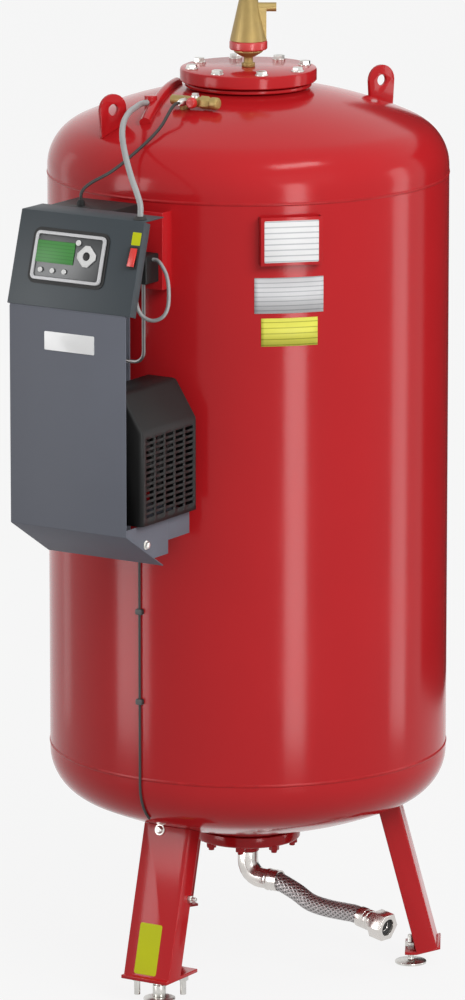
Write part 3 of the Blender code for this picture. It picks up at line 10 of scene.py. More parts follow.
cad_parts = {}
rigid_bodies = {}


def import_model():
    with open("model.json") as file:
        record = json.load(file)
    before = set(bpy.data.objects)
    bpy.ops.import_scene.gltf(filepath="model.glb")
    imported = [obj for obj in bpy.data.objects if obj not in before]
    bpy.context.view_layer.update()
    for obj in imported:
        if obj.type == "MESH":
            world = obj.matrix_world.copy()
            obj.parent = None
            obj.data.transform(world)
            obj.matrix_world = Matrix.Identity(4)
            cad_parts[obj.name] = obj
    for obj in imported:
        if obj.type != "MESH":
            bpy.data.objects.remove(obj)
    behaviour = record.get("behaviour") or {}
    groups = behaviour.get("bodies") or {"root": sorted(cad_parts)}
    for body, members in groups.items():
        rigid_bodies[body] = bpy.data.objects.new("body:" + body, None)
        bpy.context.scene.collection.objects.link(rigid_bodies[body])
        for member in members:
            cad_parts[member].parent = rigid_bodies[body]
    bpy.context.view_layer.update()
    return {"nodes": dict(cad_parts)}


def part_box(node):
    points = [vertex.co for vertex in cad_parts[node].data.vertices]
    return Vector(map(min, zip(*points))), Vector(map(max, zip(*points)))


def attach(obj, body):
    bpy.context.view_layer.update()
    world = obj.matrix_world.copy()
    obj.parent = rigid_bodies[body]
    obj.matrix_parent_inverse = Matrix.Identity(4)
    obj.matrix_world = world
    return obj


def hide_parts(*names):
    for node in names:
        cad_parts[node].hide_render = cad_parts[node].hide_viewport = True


for left_over in list(bpy.data.objects):
    bpy.data.objects.remove(left_over, do_unlink=True)
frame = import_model()


# Pressure shell: a rolled steel cylinder with a dished head welded on each end.
# It is sprayed gloss red over the welds, and the film shows a faint orange peel.
AXIS = Vector((0.0, 0.1225, 0.0))
at = Matrix.Translation
ON_AXIS = at(AXIS)
SHELL_RADIUS = 0.375
SHELL_WALL = 0.005
SHELL_STEPS = 144
LOWER_WELD = 0.44
UPPER_WELD = 1.53
HEAD_SKIRT = 0.012
CROWN_RADIUS = 0.78
CROWN_STEPS = 18
KNUCKLE_RADIUS = 0.092
KNUCKLE_STEPS = 16
KNUCKLE_MIDDLE = SHELL_RADIUS - KNUCKLE_RADIUS
CROWN_DROP = math.sqrt((CROWN_RADIUS - KNUCKLE_RADIUS) ** 2 - KNUCKLE_MIDDLE ** 2)
NECK_HOLES = {"upper": 0.0853, "lower": 0.0628}
TOUCHING = 0.000001


def add_node(tree, kind, operation=None, inputs=None):
    """A shader node whose inputs hold a value or are wired to another node's output."""
    node = tree.nodes.new(f"ShaderNode{kind}")
    if operation:
        node.operation = operation
    for label, given in (inputs or {}).items():
        if isinstance(given, bpy.types.NodeSocket):
            tree.links.new(given, node.inputs[label])
        else:
            node.inputs[label].default_value = given
    return node


def build_surface_grain():
    """Shared finish: a slow drift of tone and gloss, and a fine relief."""
    group = bpy.data.node_groups.new("surface_grain", "ShaderNodeTree")
    wanted = {"Colour": ("Color", (0.5, 0.5, 0.5, 1.0)), "Tone Drift": ("Float", 0.05),
              "Patch Scale": ("Float", 6.0), "Roughness": ("Float", 0.4), "Gloss Drift": ("Float", 0.05),
              "Grain Scale": ("Float", 600.0), "Relief": ("Float", 0.1)}
    for label, (kind, value) in wanted.items():
        socket = group.interface.new_socket(name=label, in_out="INPUT", socket_type=f"NodeSocket{kind}")
        socket.default_value = value
    for label, kind in (("Colour", "Color"), ("Roughness", "Float"), ("Normal", "Vector")):
        group.interface.new_socket(name=label, in_out="OUTPUT", socket_type=f"NodeSocket{kind}")
    given = group.nodes.new("NodeGroupInput").outputs
    made = group.nodes.new("NodeGroupOutput").inputs
    place = add_node(group, "TexCoord").outputs["Object"]
    patches = add_node(group, "TexNoise", None, {
        "Vector": place, "Scale": given["Patch Scale"], "Detail": 4.0})
    grain = add_node(group, "TexNoise", None, {"Vector": place, "Scale": given["Grain Scale"], "Detail": 2.0})
    centred = add_node(group, "MapRange", None, {
        "Value": patches.outputs["Fac"], "From Min": 0.3, "From Max": 0.7, "To Min": -1.0, "To Max": 1.0})
    tone = add_node(group, "Math", "MULTIPLY_ADD", {
        0: centred.outputs["Result"], 1: given["Tone Drift"], 2: 1.0})
    tinted = add_node(group, "VectorMath", "SCALE", {0: given["Colour"], "Scale": tone.outputs["Value"]})
    gloss = add_node(group, "Math", "MULTIPLY_ADD", {
        0: centred.outputs["Result"], 1: given["Gloss Drift"], 2: given["Roughness"]})
    relief = add_node(group, "Bump", None, {
        "Height": grain.outputs["Fac"], "Strength": given["Relief"], "Distance": 0.0005})
    group.links.new(tinted.outputs["Vector"], made["Colour"])
    group.links.new(gloss.outputs["Value"], made["Roughness"])
    group.links.new(relief.outputs["Normal"], made["Normal"])
    return group


surface_grain = build_surface_grain()


def finished(name, colour, roughness, slot=None, tone=0.04, patch=6.0, drift=0.04, grain=600.0, relief=0.08,
             **sockets):
    """A material of the shared finish, with its own colour, gloss and grain. The slot argument is not used.
    """
    material = bpy.data.materials.new(name)
    material.use_nodes = True
    tree = material.node_tree
    shader = tree.nodes["Principled BSDF"]
    finish = tree.nodes.new("ShaderNodeGroup")
    finish.node_tree = surface_grain
    finish.name = "finish"
    values = {"Colour": (*colour, 1.0), "Tone Drift": tone, "Patch Scale": patch, "Roughness": roughness,
              "Gloss Drift": drift, "Grain Scale": grain, "Relief": relief}
    for label, value in values.items():
        finish.inputs[label].default_value = value
    for label, socket in (("Colour", "Base Color"), ("Roughness", "Roughness"), ("Normal", "Normal")):
        tree.links.new(finish.outputs[label], shader.inputs[socket])
    for label, value in sockets.items():
        shader.inputs[label.replace("_", " ")].default_value = value
    return material


def add_object(name, shape, material):
    """Turns a bmesh into an object of the scene."""
    mesh = bpy.data.meshes.new(name)
    shape.to_mesh(mesh)
    shape.free()
    mesh.materials.append(material)
    made = bpy.data.objects.new(name, mesh)
    bpy.context.scene.collection.objects.link(made)
    return made


def add_piece(name, shape, material, body="vessel", sharp=35.0):
    """Turns a bmesh into a finished piece that rides on a body."""
    piece = add_object(name, shape, material)
    piece.data.shade_smooth()
    piece.data.set_sharp_from_angle(angle=math.radians(sharp))
    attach(piece, body)
    return piece


def arc(across, height, radius, start, end, steps):
    """Points of an arc in a half section, with its angles counted from the axis."""
    turns = [start + (end - start) * step / steps for step in range(steps + 1)]
    return [(across + radius * math.sin(turn), height + radius * math.cos(turn)) for turn in turns]


def spun(sections, place, steps, closed=True):
    """A shape of half sections that are spun about their own Z and set in place."""
    shape = bmesh.new()
    for section in sections:
        corners = [shape.verts.new((across, 0.0, height)) for across, height in section]
        pairs = list(zip(corners, corners[1:]))
        if closed:
            pairs.append((corners[-1], corners[0]))
        edges = [shape.edges.new(pair) for pair in pairs]
        bmesh.ops.spin(shape, geom=corners + edges, cent=(0, 0, 0), axis=(0, 0, 1), dvec=(0, 0, 0),
                       angle=2 * math.pi, steps=steps, use_merge=True, use_duplicate=False)
    bmesh.ops.remove_doubles(shape, verts=shape.verts, dist=TOUCHING)
    bmesh.ops.recalc_face_normals(shape, faces=shape.faces)
    bmesh.ops.transform(shape, matrix=place, verts=shape.verts)
    return shape


def head_points(inset, hole):
    """Half section of a dished head from its hole to its skirt, above its weld."""
    edge = math.asin(KNUCKLE_MIDDLE / (CROWN_RADIUS - KNUCKLE_RADIUS))
    crown = CROWN_RADIUS - inset
    first = math.asin(hole / crown)
    points = arc(0.0, HEAD_SKIRT - CROWN_DROP, crown, first, edge, CROWN_STEPS)
    knuckle = arc(KNUCKLE_MIDDLE, HEAD_SKIRT, KNUCKLE_RADIUS - inset, edge, math.pi / 2, KNUCKLE_STEPS)
    return points + knuckle[1:]


gloss_red = finished("gloss_red", (0.50, 0.014, 0.018), 0.15, slot="vessel_red", tone=0.035, patch=3.5,
                     drift=0.02, grain=420.0, relief=0.025, Specular_IOR_Level=0.18)
outer = [(r, UPPER_WELD + z) for r, z in head_points(0.0, NECK_HOLES["upper"])]
outer += [(r, LOWER_WELD - z) for r, z in reversed(head_points(0.0, NECK_HOLES["lower"]))]
inner = [(r, LOWER_WELD - z) for r, z in head_points(SHELL_WALL, NECK_HOLES["lower"])]
inner += [(r, UPPER_WELD + z) for r, z in reversed(head_points(SHELL_WALL, NECK_HOLES["upper"]))]
vessel_skin = add_piece("vessel_skin", spun([outer + inner], ON_AXIS, SHELL_STEPS), gloss_red, sharp=40.0)
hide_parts("shell_cylinder", "upper_head", "lower_head")

# Girth welds: the cap of each seam stands a millimetre proud, under the same paint.
# The upper seam sits just below the knuckle, the lower one just above it.
WELD_HALF_WIDTH = 0.0045
WELD_SHOULDER = 0.0022
WELD_CROWN = 0.0012
WELD_ROOT = SHELL_RADIUS - 0.001
weld_side = SHELL_RADIUS + 0.6 * WELD_CROWN
weld_caps = [[(WELD_ROOT, level - WELD_HALF_WIDTH), (weld_side, level - WELD_SHOULDER),
              (SHELL_RADIUS + WELD_CROWN, level), (weld_side, level + WELD_SHOULDER),
              (WELD_ROOT, level + WELD_HALF_WIDTH)] for level in (LOWER_WELD, UPPER_WELD)]
welded_red = finished("welded_red", (0.44, 0.012, 0.015), 0.34, slot="vessel_red", tone=0.08, patch=60.0,
                      grain=260.0, relief=0.25, Specular_IOR_Level=0.18)
add_piece("girth_welds", spun(weld_caps, ON_AXIS, SHELL_STEPS), welded_red)

# Bladder: the black butyl bag inside the shell that holds the system water.
# Its two lips are clamped under the lid and under the water cover.
bag_rubber = finished("bag_rubber", (0.018, 0.018, 0.018), 0.75, slot="black_rubber", tone=0.15, grain=300.0,
                      relief=0.2)


def coat_node(node, material):
    """Gives a CAD solid that stays as it is a finish of this file."""
    mesh = frame["nodes"][node].data
    mesh.materials.clear()
    mesh.materials.append(material)


coat_node("bladder", bag_rubber)

# Top opening: a neck ring is welded in the upper head and carries the thick bolted lid.
# Eight low plated hexagon bolts on washers hold the lid on the bladder's lip.
NEAR = 0.00001
CAD_FLAT = 1.0
CAD_SHARP = 32.0
FACING = 0.9
HEAD_CHAMFER = 0.0012
LID_EDGE = 0.0022
LID_BORE = 0.0105
LID_STEPS = 96
# A washer or stud is given by its radius and height, and a head by its width across flats and height.
LID_BOLT = {"washer": (0.0120, 0.0016), "head": (0.018, 0.0065)}
BOLT_CIRCLE = 0.108
BOLT_COUNT = 8


def round_edges(shape, geom, offset, segments=2, affect="EDGES"):
    """Rounds edges, or the corners of a flat outline, by an offset."""
    bmesh.ops.bevel(shape, geom=geom, offset=offset, offset_type="OFFSET", affect=affect, segments=segments,
                    profile=0.5, material=-1, clamp_overlap=True)


def dress_node(node, material, edge, segments=2, body="vessel"):
    """A copy of a CAD solid, its triangles merged and its sharp edges rounded, in place of the solid."""
    shape = bmesh.new()
    shape.from_mesh(frame["nodes"][node].data)
    bmesh.ops.remove_doubles(shape, verts=shape.verts, dist=NEAR)
    bmesh.ops.dissolve_limit(shape, angle_limit=math.radians(CAD_FLAT), verts=shape.verts, edges=shape.edges,
                             use_dissolve_boundaries=False, delimit=set())
    if edge:
        turned = [line for line in shape.edges
                  if len(line.link_faces) == 2 and line.calc_face_angle() > math.radians(CAD_SHARP)]
        round_edges(shape, turned, edge, segments)
    piece = add_piece(f"{node}_made", shape, material, body, CAD_SHARP)
    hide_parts(node)
    return piece


def raised(place, height):
    """The same place, a height further out."""
    return place @ at((0, 0, height))


def add_stud(shape, place, radius, top_radius, height, steps, edge):
    """A stud with any number of sides that stands on the plane of its place, its top edge broken."""
    made = bmesh.ops.create_cone(shape, cap_ends=True, cap_tris=False, segments=steps, radius1=radius,
                                 radius2=top_radius, depth=height, matrix=raised(place, height / 2))
    out = place.to_3x3() @ Vector((0, 0, 1))
    tops = {face for vert in made["verts"] for face in vert.link_faces if face.normal.dot(out) > FACING}
    round_edges(shape, list({line for face in tops for line in face.edges}), edge)


def add_hexagon(shape, place, flats, height):
    """A hexagon head or nut."""
    radius = flats / math.sqrt(3)
    add_stud(shape, place, radius, radius, height, 6, HEAD_CHAMFER)


def add_round(shape, place, radius, height, steps=24, taper=1.0):
    """A washer, stud or pin."""
    add_stud(shape, place, radius, radius * taper, height, steps, min(radius, height) * 0.15)


def add_bolt(shape, seat, washer, head, steps=24):
    """A hexagon head on its washer."""
    add_round(shape, seat, *washer, steps)
    add_hexagon(shape, raised(seat, washer[1]), *head)


def bolt_seats(circle, level, first=0.0):
    """The places of eight bolts on a circle round the vessel's axis."""
    for number in range(BOLT_COUNT):
        turn = Matrix.Rotation(2 * math.pi * (number + first) / BOLT_COUNT, 4, "Z")
        yield ON_AXIS @ turn @ at((0.0, -circle, level))


plated_steel = finished("plated_steel", (0.62, 0.61, 0.58), 0.32, slot="zinc_steel", tone=0.12, patch=45.0,
                        drift=0.08, grain=900.0, relief=0.06, Metallic=1.0)
dress_node("top_neck", gloss_red, 0.0015)
lid_low, lid_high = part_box("lid")
lid_radius = lid_high.x
lid_section = [(LID_BORE, lid_high.z), (lid_radius - 2 * LID_EDGE, lid_high.z),
               (lid_radius - 0.6 * LID_EDGE, lid_high.z - 0.6 * LID_EDGE),
               (lid_radius, lid_high.z - 2 * LID_EDGE), (lid_radius, lid_low.z + LID_EDGE),
               (lid_radius - LID_EDGE, lid_low.z), (LID_BORE, lid_low.z)]
bolted_lid = add_piece("bolted_lid", spun([lid_section], ON_AXIS, LID_STEPS), gloss_red)
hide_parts("lid")
bolt_shape = bmesh.new()
for seat in bolt_seats(BOLT_CIRCLE, lid_high.z):
    add_bolt(bolt_shape, seat, **LID_BOLT)
add_piece("lid_bolts", bolt_shape, plated_steel)

# Float vent on the lid: a machined brass nipple and base, a red collar and a cast brass cone.
# A float inside the cone shuts the small side outlet when water reaches it.
cast_brass = finished("cast_brass", (0.38, 0.27, 0.09), 0.46, slot="brass", tone=0.10, patch=40.0, drift=0.08,
                      grain=700.0, relief=0.12, Metallic=0.4)
collar_red = finished("collar_red", (0.62, 0.035, 0.035), 0.35, slot="signal_red", grain=800.0, relief=0.04,
                      Coat_Weight=0.3)
float_white = finished("float_white", (0.78, 0.78, 0.76), 0.5, grain=500.0)
dress_node("vent_base", cast_brass, 0.0008)
dress_node("vent_collar", collar_red, 0.0010)
dress_node("vent_body", cast_brass, 0.0012, segments=3)
coat_node("vent_float", float_white)

# Bottom opening: a neck ring in the lower head and the bolted water cover with its threaded socket.
# The cover was painted with its bolts, so they are red too.
LOW_BOLT_CIRCLE = 0.085
LOW_BOLT = {"head": (0.017, 0.0095), "stud": (0.0055, 0.005), "steps": 14}
COVER_SOCKET = 0.028
UPSIDE_DOWN = Matrix.Rotation(math.pi, 4, "X")


def add_nut(shape, seat, head, stud, steps):
    """A hexagon with the end of its stud standing out of it."""
    add_hexagon(shape, seat, *head)
    add_round(shape, raised(seat, head[1]), *stud, steps)


dress_node("bottom_neck", gloss_red, 0.0012)
dress_node("water_cover", gloss_red, 0.0015)
cover_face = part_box("water_cover")[0].z + COVER_SOCKET
low_bolt_shape = bmesh.new()
for seat in bolt_seats(LOW_BOLT_CIRCLE, cover_face, first=0.5):
    add_nut(low_bolt_shape, seat @ UPSIDE_DOWN, **LOW_BOLT)
add_piece("water_cover_bolts", low_bolt_shape, gloss_red)

# Water hose: a nickel-plated elbow, a short rubber hose in a steel wire braid and a loose union nut.
# The braid is crimped in a plated ferrule at each end, and a flat rubber washer lies in the nut.
# A black rubber rod fills the tail's bore almost to its mouth. It stands for the hose's dark liner, and it is
# painted shade for the deep bore.
HOSE_RADIUS = 0.017
HOSE_SIDES = 32
HOSE_START = Vector((0.0456, 0.1225, 0.167909))
HOSE_LEAVES = Vector((1, 0, 0))
HOSE_END = Vector((0.252, 0.1185, 0.1265))
HOSE_AIM = Vector((0.97, -0.13, -0.16)).normalized()
HOSE_ROUTE = [(0.072, 0.1225, 0.166), (0.108, 0.1225, 0.152), (0.140, 0.1225, 0.136),
              (0.178, 0.1225, 0.130), (0.217, 0.1215, 0.129)]
HOSE_STUBS = {"start": 0.012, "end": 0.015}
ROUTE_STEP = 0.004
BRAID = {"pitch": 0.011, "carriers": 12}
SEAT_GAP = 0.0003
FITTING_STEPS = 36
TAIL_SECTION = [(0.0, 0.022), (0.0088, 0.022), (0.0088, 0.0592), (0.0096, 0.0600), (0.0151, 0.0600),
                (0.0159, 0.0592), (0.0159, 0.0520), (0.0120, 0.0518), (0.0120, 0.0342), (0.0185, 0.0340),
                (0.0195, 0.0330), (0.0195, 0.0270), (0.0186, 0.0255), (0.0195, 0.0240), (0.0195, 0.0180),
                (0.0186, 0.0165), (0.0195, 0.0150), (0.0195, 0.0010), (0.0187, 0.0), (0.0, 0.0)]
WASHER_SECTION = [(0.0090, 0.0602), (0.0158, 0.0602), (0.0158, 0.0622), (0.0090, 0.0622)]
LINER_AND_BORE_SHADE = {"foot": 0.022, "radius": 0.0086, "length": 0.0375}
FERRULE_SECTION = [(0.0172, 0.0), (0.0208, 0.0), (0.0212, 0.003), (0.0199, 0.006), (0.0208, 0.010),
                   (0.0199, 0.014), (0.0208, 0.018), (0.0199, 0.022), (0.0204, 0.026), (0.0172, 0.026)]


def smooth_route(points):
    """Points a step apart on a smooth curve through a route's own points."""
    knots = [Vector(point) for point in points]
    ends = [2 * knots[0] - knots[1], *knots, 2 * knots[-1] - knots[-2]]
    route = []
    for before, start, end, after in zip(ends, ends[1:], ends[2:], ends[3:]):
        count = max(1, round((end - start).length / ROUTE_STEP))
        for step in range(count):
            t = step / count
            bend = 2 * before - 5 * start + 4 * end - after
            swing = 3 * start - before - 3 * end + after
            route.append((2 * start + (end - before) * t + bend * t * t + swing * t ** 3) / 2)
    return [*route, knots[-1]]


def route_length(route):
    return sum((end - start).length for start, end in zip(route, route[1:]))


def sweep_tube(route, radius, sides):
    """A closed tube round a route, with a UV map of metres along it and turns round it."""
    shape = bmesh.new()
    layer = shape.loops.layers.uv.new("along")
    heading = (route[1] - route[0]).normalized()
    side = heading.orthogonal().normalized()
    turns = [2 * math.pi * step / sides for step in range(sides)]
    rings = []
    for number, place in enumerate(route):
        onward = (route[min(number + 1, len(route) - 1)] - route[max(number - 1, 0)]).normalized()
        side = (side - onward * side.dot(onward)).normalized()
        other = onward.cross(side)
        rings.append([shape.verts.new(place + radius * (side * math.cos(t) + other * math.sin(t)))
                      for t in turns])
    run = 0.0
    for number in range(len(rings) - 1):
        step = (route[number + 1] - route[number]).length
        for index in range(sides):
            onto = (index + 1) % sides
            face = shape.faces.new((rings[number][index], rings[number][onto],
                                    rings[number + 1][onto], rings[number + 1][index]))
            marks = ((run, index), (run, index + 1), (run + step, index + 1), (run + step, index))
            for corner, (along, round_it) in zip(face.loops, marks):
                corner[layer].uv = (along, round_it / sides)
        run += step
    shape.faces.new(list(reversed(rings[0])))
    shape.faces.new(rings[-1])
    bmesh.ops.recalc_face_normals(shape, faces=shape.faces)
    return shape


def braid_material(name, colour, pitch, carriers):
    """Crossing bands of fine wire, drawn from the tube's own map, with painted shade in the grooves between
    the wires.
    """
    material = finished(name, colour, 0.36, slot="steel_braid", tone=0.10, patch=60.0, grain=1500.0,
                        relief=0.1, Metallic=0.85)
    tree = material.node_tree
    shader = tree.nodes["Principled BSDF"]
    mapped = add_node(tree, "UVMap")
    mapped.uv_map = "along"
    parts = add_node(tree, "SeparateXYZ", None, {"Vector": mapped.outputs["UV"]}).outputs
    waves = []
    for sign in (1.0, -1.0):
        turn = add_node(tree, "Math", "MULTIPLY", {0: parts["Y"], 1: sign * 2 * math.pi * carriers})
        lead = add_node(tree, "Math", "MULTIPLY_ADD", {
            0: parts["X"], 1: 2 * math.pi / pitch, 2: turn.outputs["Value"]})
        waves.append(add_node(tree, "Math", "SINE", {0: lead.outputs["Value"]}).outputs["Value"])
    higher = add_node(tree, "Math", "MAXIMUM", {0: waves[0], 1: waves[1]}).outputs["Value"]
    relief = add_node(tree, "Bump", None, {"Height": higher, "Strength": 0.8, "Distance": 0.0006})
    # Painted shade: the colour darkens to a quarter in the grooves between the wires.
    shade = add_node(tree, "MapRange", None, {"Value": higher, "From Min": -0.6, "To Min": 0.25})
    shaded_wires = add_node(tree, "VectorMath", "SCALE", {
        0: tree.nodes["finish"].outputs["Colour"], "Scale": shade.outputs["Result"]})
    tree.links.new(relief.outputs["Normal"], shader.inputs["Normal"])
    tree.links.new(shaded_wires.outputs["Vector"], shader.inputs["Base Color"])
    return material


def aimed(point, heading):
    """A place at a point, with its Z along a heading."""
    return at(point) @ heading.to_track_quat("Z", "Y").to_matrix().to_4x4()


nickel = finished("nickel", (0.66, 0.63, 0.60), 0.24, slot="zinc_steel", tone=0.08, patch=40.0, drift=0.06,
                  grain=700.0, relief=0.05, Metallic=1.0)
dress_node("water_elbow", nickel, 0.0006)
tail_place = aimed(HOSE_END + HOSE_AIM * SEAT_GAP, HOSE_AIM)
tail_shape = spun([TAIL_SECTION], tail_place, FITTING_STEPS, closed=False)
hose_tail = add_piece("hose_tail_open", tail_shape, nickel)
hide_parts("hose_tail")
union_nut = dress_node("union_nut", nickel, 0.0014, body="hose_nut")
washer_shape = spun([WASHER_SECTION], tail_place, FITTING_STEPS)
# The black rod in the tail's bore is painted shade for the deep bore, as well as the hose's liner.
add_round(washer_shape, raised(tail_place, LINER_AND_BORE_SHADE["foot"]), LINER_AND_BORE_SHADE["radius"], LINER_AND_BORE_SHADE["length"], FITTING_STEPS)
union_washer = add_piece("union_washer", washer_shape, bag_rubber)
hose_route = smooth_route([HOSE_START, HOSE_START + HOSE_LEAVES * HOSE_STUBS["start"], *HOSE_ROUTE,
                           HOSE_END - HOSE_AIM * HOSE_STUBS["end"], HOSE_END])
wire_braid = braid_material("wire_braid", (0.50, 0.47, 0.47), **BRAID)
hose_shape = sweep_tube(hose_route, HOSE_RADIUS, HOSE_SIDES)
water_hose = add_piece("water_hose_braided", hose_shape, wire_braid)
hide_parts("water_hose")
ferrule_shape = spun([FERRULE_SECTION], aimed(HOSE_START, HOSE_LEAVES), FITTING_STEPS)
hose_ferrule = add_piece("hose_ferrule", ferrule_shape, nickel)
route_length(hose_route)
[tuple(point) for point in hose_route]

# Lifting lugs: two flame-cut steel eye plates, one towards the front and one towards the back.
# They are welded upright on the upper head and painted with it.
for lug in ("lifting_lug_front", "lifting_lug_rear"):
    dress_node(lug, gloss_red, 0.0014)

# Dome rail: a red rod welded on the upper head beside the lid, past the air inlet.
# It lies partly sunk in its weld along the head.
RAIL_RADIUS = 0.0105
RAIL_STANDS = 0.3 * RAIL_RADIUS
RAIL_ENDS = (Vector((-0.150, -0.012, 0.0)), Vector((-0.060, -0.262, 0.0)))
RAIL_STEPS = 12
LINE_SIDES = 20


def head_top(across):
    """Height of the upper head's outer face at a distance from the axis."""
    return UPPER_WELD + HEAD_SKIRT + math.sqrt(CROWN_RADIUS ** 2 - across ** 2) - CROWN_DROP


rail_route = []
for step in range(RAIL_STEPS + 1):
    spot = RAIL_ENDS[0].lerp(RAIL_ENDS[1], step / RAIL_STEPS)
    rail_route.append(AXIS + Vector((spot.x, spot.y, head_top(spot.length) + RAIL_STANDS)))
add_piece("dome_rail", sweep_tube(rail_route, RAIL_RADIUS, LINE_SIDES), gloss_red)

# Legs: three pressed channel legs welded under the lower head. The rear two stand on screw feet.
# The front one has a thick base plate on the weighing cell, with two transport bolts beside it.
# It also has a domed clamp screw at the top of its web and a bolt through its right flange.
LEG_SPLAY = math.radians(14.8)
WEB_FOOT = Vector((0.0, -0.238836, 0.042568))
FOOT_PLACES = ((-0.26926, 0.27796), (0.26926, 0.27796))
TAB_TOP = 0.033
LOCK_NUT = (0.019, 0.008)
PLATE_UNDERSIDE = 0.047
TRANSPORT_PLACES = ((-0.032, -0.2175), (0.041, -0.172))
TRANSPORT_BOLT = {"head": (0.017, 0.008), "stud": (0.0058, 0.027), "steps": 16}
CLAMP_PLACE = (-0.014, 0.288, 0.0)
CLAMP_WASHER = (0.0105, 0.002)
CLAMP_DOME = {"radius": 0.008, "height": 0.006, "steps": 20, "taper": 0.7}
FLANGE_PLACE = (0.05, -0.166, 0.197)
FLANGE_BOLT = {"head": (0.013, 0.007), "stud": (0.004, 0.009), "steps": 16}
for leg in ("leg_front", "leg_rear_left", "leg_rear_right"):
    dress_node(leg, gloss_red, 0.0012)
for foot, body in (("levelling_foot_rear_left", "left_foot"), ("levelling_foot_rear_right", "right_foot"),
                   ("load_cell", "vessel"), ("load_cell_foot", "vessel")):
    dress_node(foot, plated_steel, 0.0008, body=body)
leg_web = at(WEB_FOOT) @ Matrix.Rotation(math.pi / 2 - LEG_SPLAY, 4, "X")
fixing_shape = bmesh.new()
for x, y in FOOT_PLACES:
    add_hexagon(fixing_shape, at((x, y, TAB_TOP)), *LOCK_NUT)
for x, y in TRANSPORT_PLACES:
    add_nut(fixing_shape, at((x, y, PLATE_UNDERSIDE)) @ UPSIDE_DOWN, **TRANSPORT_BOLT)
clamp_seat = leg_web @ at(CLAMP_PLACE)
add_round(fixing_shape, clamp_seat, *CLAMP_WASHER)
add_round(fixing_shape, raised(clamp_seat, CLAMP_WASHER[1]), **CLAMP_DOME)
flange_seat = at(FLANGE_PLACE) @ Matrix.Rotation(math.pi / 2, 4, "Y")
add_nut(fixing_shape, flange_seat, **FLANGE_BOLT)
add_piece("leg_fixings", fixing_shape, plated_steel)

# Leg label: a plain yellow plastic film with rounded corners, stuck low on the front leg.
# It bears no sign and no words.
LABEL_FILM = 0.0004
LEG_LABEL_PLACE = (-0.004, 0.064, 0.0)
LEG_LABEL = {"width": 0.048, "height": 0.096, "depth": LABEL_FILM, "corner": 0.004}
FLAT = 0.99


def add_plates(name, material, places, width, height, depth, corner, edge=0.0):
    """One piece of equal flat plates with rounded corners, each lying on the plane of its place."""
    shape = bmesh.new()
    size = Matrix.Diagonal((width, height, depth, 1.0))
    for place in places:
        made = bmesh.ops.create_cube(shape, size=1.0, matrix=raised(place, depth / 2) @ size)
        out = place.to_3x3() @ Vector((0, 0, 1))
        lines = {line for vert in made["verts"] for line in vert.link_edges}
        upright = [line for line in lines
                   if abs((line.verts[1].co - line.verts[0].co).normalized().dot(out)) > FLAT]
        round_edges(shape, upright, corner, segments=5)
        if edge:
            top = [face for face in shape.faces if face.normal.dot(out) > FLAT
                   and abs((place.inverted() @ face.calc_center_median()).z - depth) < NEAR]
            round_edges(shape, list({line for face in top for line in face.edges}), edge)
    add_piece(name, shape, material)


yellow_film = finished("yellow_film", (0.60, 0.63, 0.008), 0.38, tone=0.03, patch=20.0, grain=900.0,
                       relief=0.03, Specular_IOR_Level=0.05)
add_plates("leg_label", yellow_film, [leg_web @ at(LEG_LABEL_PLACE)], **LEG_LABEL)

# Weighing lead: a thin black cable from the cell, clipped straight up the front of the shell.
# Two cushioned clips hold it, and its upper end goes in behind the control unit.
LEAD_Y = -0.2553
CLIP_BACK = LEAD_Y + 0.0028
CLIP_LEVELS = (0.588, 0.759)
CLIP = {"width": 0.015, "height": 0.011, "depth": 0.007, "corner": 0.003, "edge": 0.0012}
FACING_FRONT = Matrix.Rotation(math.pi / 2, 4, "X")
cable_black = finished("cable_black", (0.022, 0.021, 0.020), 0.55, slot="black_rubber", tone=0.1, patch=40.0,
                       grain=900.0, relief=0.1)
dress_node("load_cell_lead", cable_black, 0.0)
clip_places = [at((0.0, CLIP_BACK, level)) @ FACING_FRONT for level in CLIP_LEVELS]
add_plates("lead_clips", cable_black, clip_places, **CLIP)

# Rating plate: a red stand-off channel on the shell with a white printed plate on its face.
# The plate is bare but for ruled lines.
PLATE_TURN = math.radians(43.6)
PLATE_LEVEL = 1.4645
PLATE_OUT = 0.392
RATING_PLATE = {"width": 0.101, "height": 0.077, "depth": 0.0008, "corner": 0.002, "edge": 0.0003}


def ruled_material(name, paper, ink, pitch, share, **others):
    """A printed face: rows of plain ruled lines, a pitch apart in height."""
    material = finished(name, paper, 0.42, tone=0.03, patch=20.0, grain=800.0, relief=0.03,
                        Specular_IOR_Level=0.2, **others)
    tree = material.node_tree
    place = add_node(tree, "TexCoord").outputs["Object"]
    height = add_node(tree, "SeparateXYZ", None, {"Vector": place}).outputs["Z"]
    rows = add_node(tree, "Math", "PINGPONG", {0: height, 1: pitch / 2})
    line = add_node(tree, "Math", "LESS_THAN", {0: rows.outputs["Value"], 1: pitch / 2 * share})
    printed = add_node(tree, "Mix")
    printed.data_type = "RGBA"
    tree.links.new(line.outputs["Value"], printed.inputs["Factor"])
    under, over = [socket for socket in printed.inputs if socket.type == "RGBA"]
    tree.links.new(tree.nodes["finish"].outputs["Colour"], under)
    over.default_value = (*ink, 1.0)
    result = [socket for socket in printed.outputs if socket.type == "RGBA"][0]
    tree.links.new(result, tree.nodes["Principled BSDF"].inputs["Base Color"])
    return material


side_frame = ON_AXIS @ Matrix.Rotation(PLATE_TURN, 4, "Z")
plate_face = side_frame @ at((0.0, -PLATE_OUT, PLATE_LEVEL)) @ FACING_FRONT
dress_node("nameplate_bracket", gloss_red, 0.0006)
printed_white = ruled_material("printed_white", (0.81, 0.81, 0.81), (0.50, 0.50, 0.52), 0.0105, 0.22)
add_plates("rating_plate", printed_white, [plate_face], **RATING_PLATE)

# Shell labels: a silver film with the filling data and a yellow film below it.
# Both are stuck flat on the curved shell under the rating plate.
LABEL_GAP = 0.0003
LABEL_STEPS = 16
SILVER_LABEL = {"first": 33.7, "last": 53.4, "low": 1.329, "high": 1.395}
YELLOW_LABEL = {"first": 35.6, "last": 51.7, "low": 1.268, "high": 1.320}


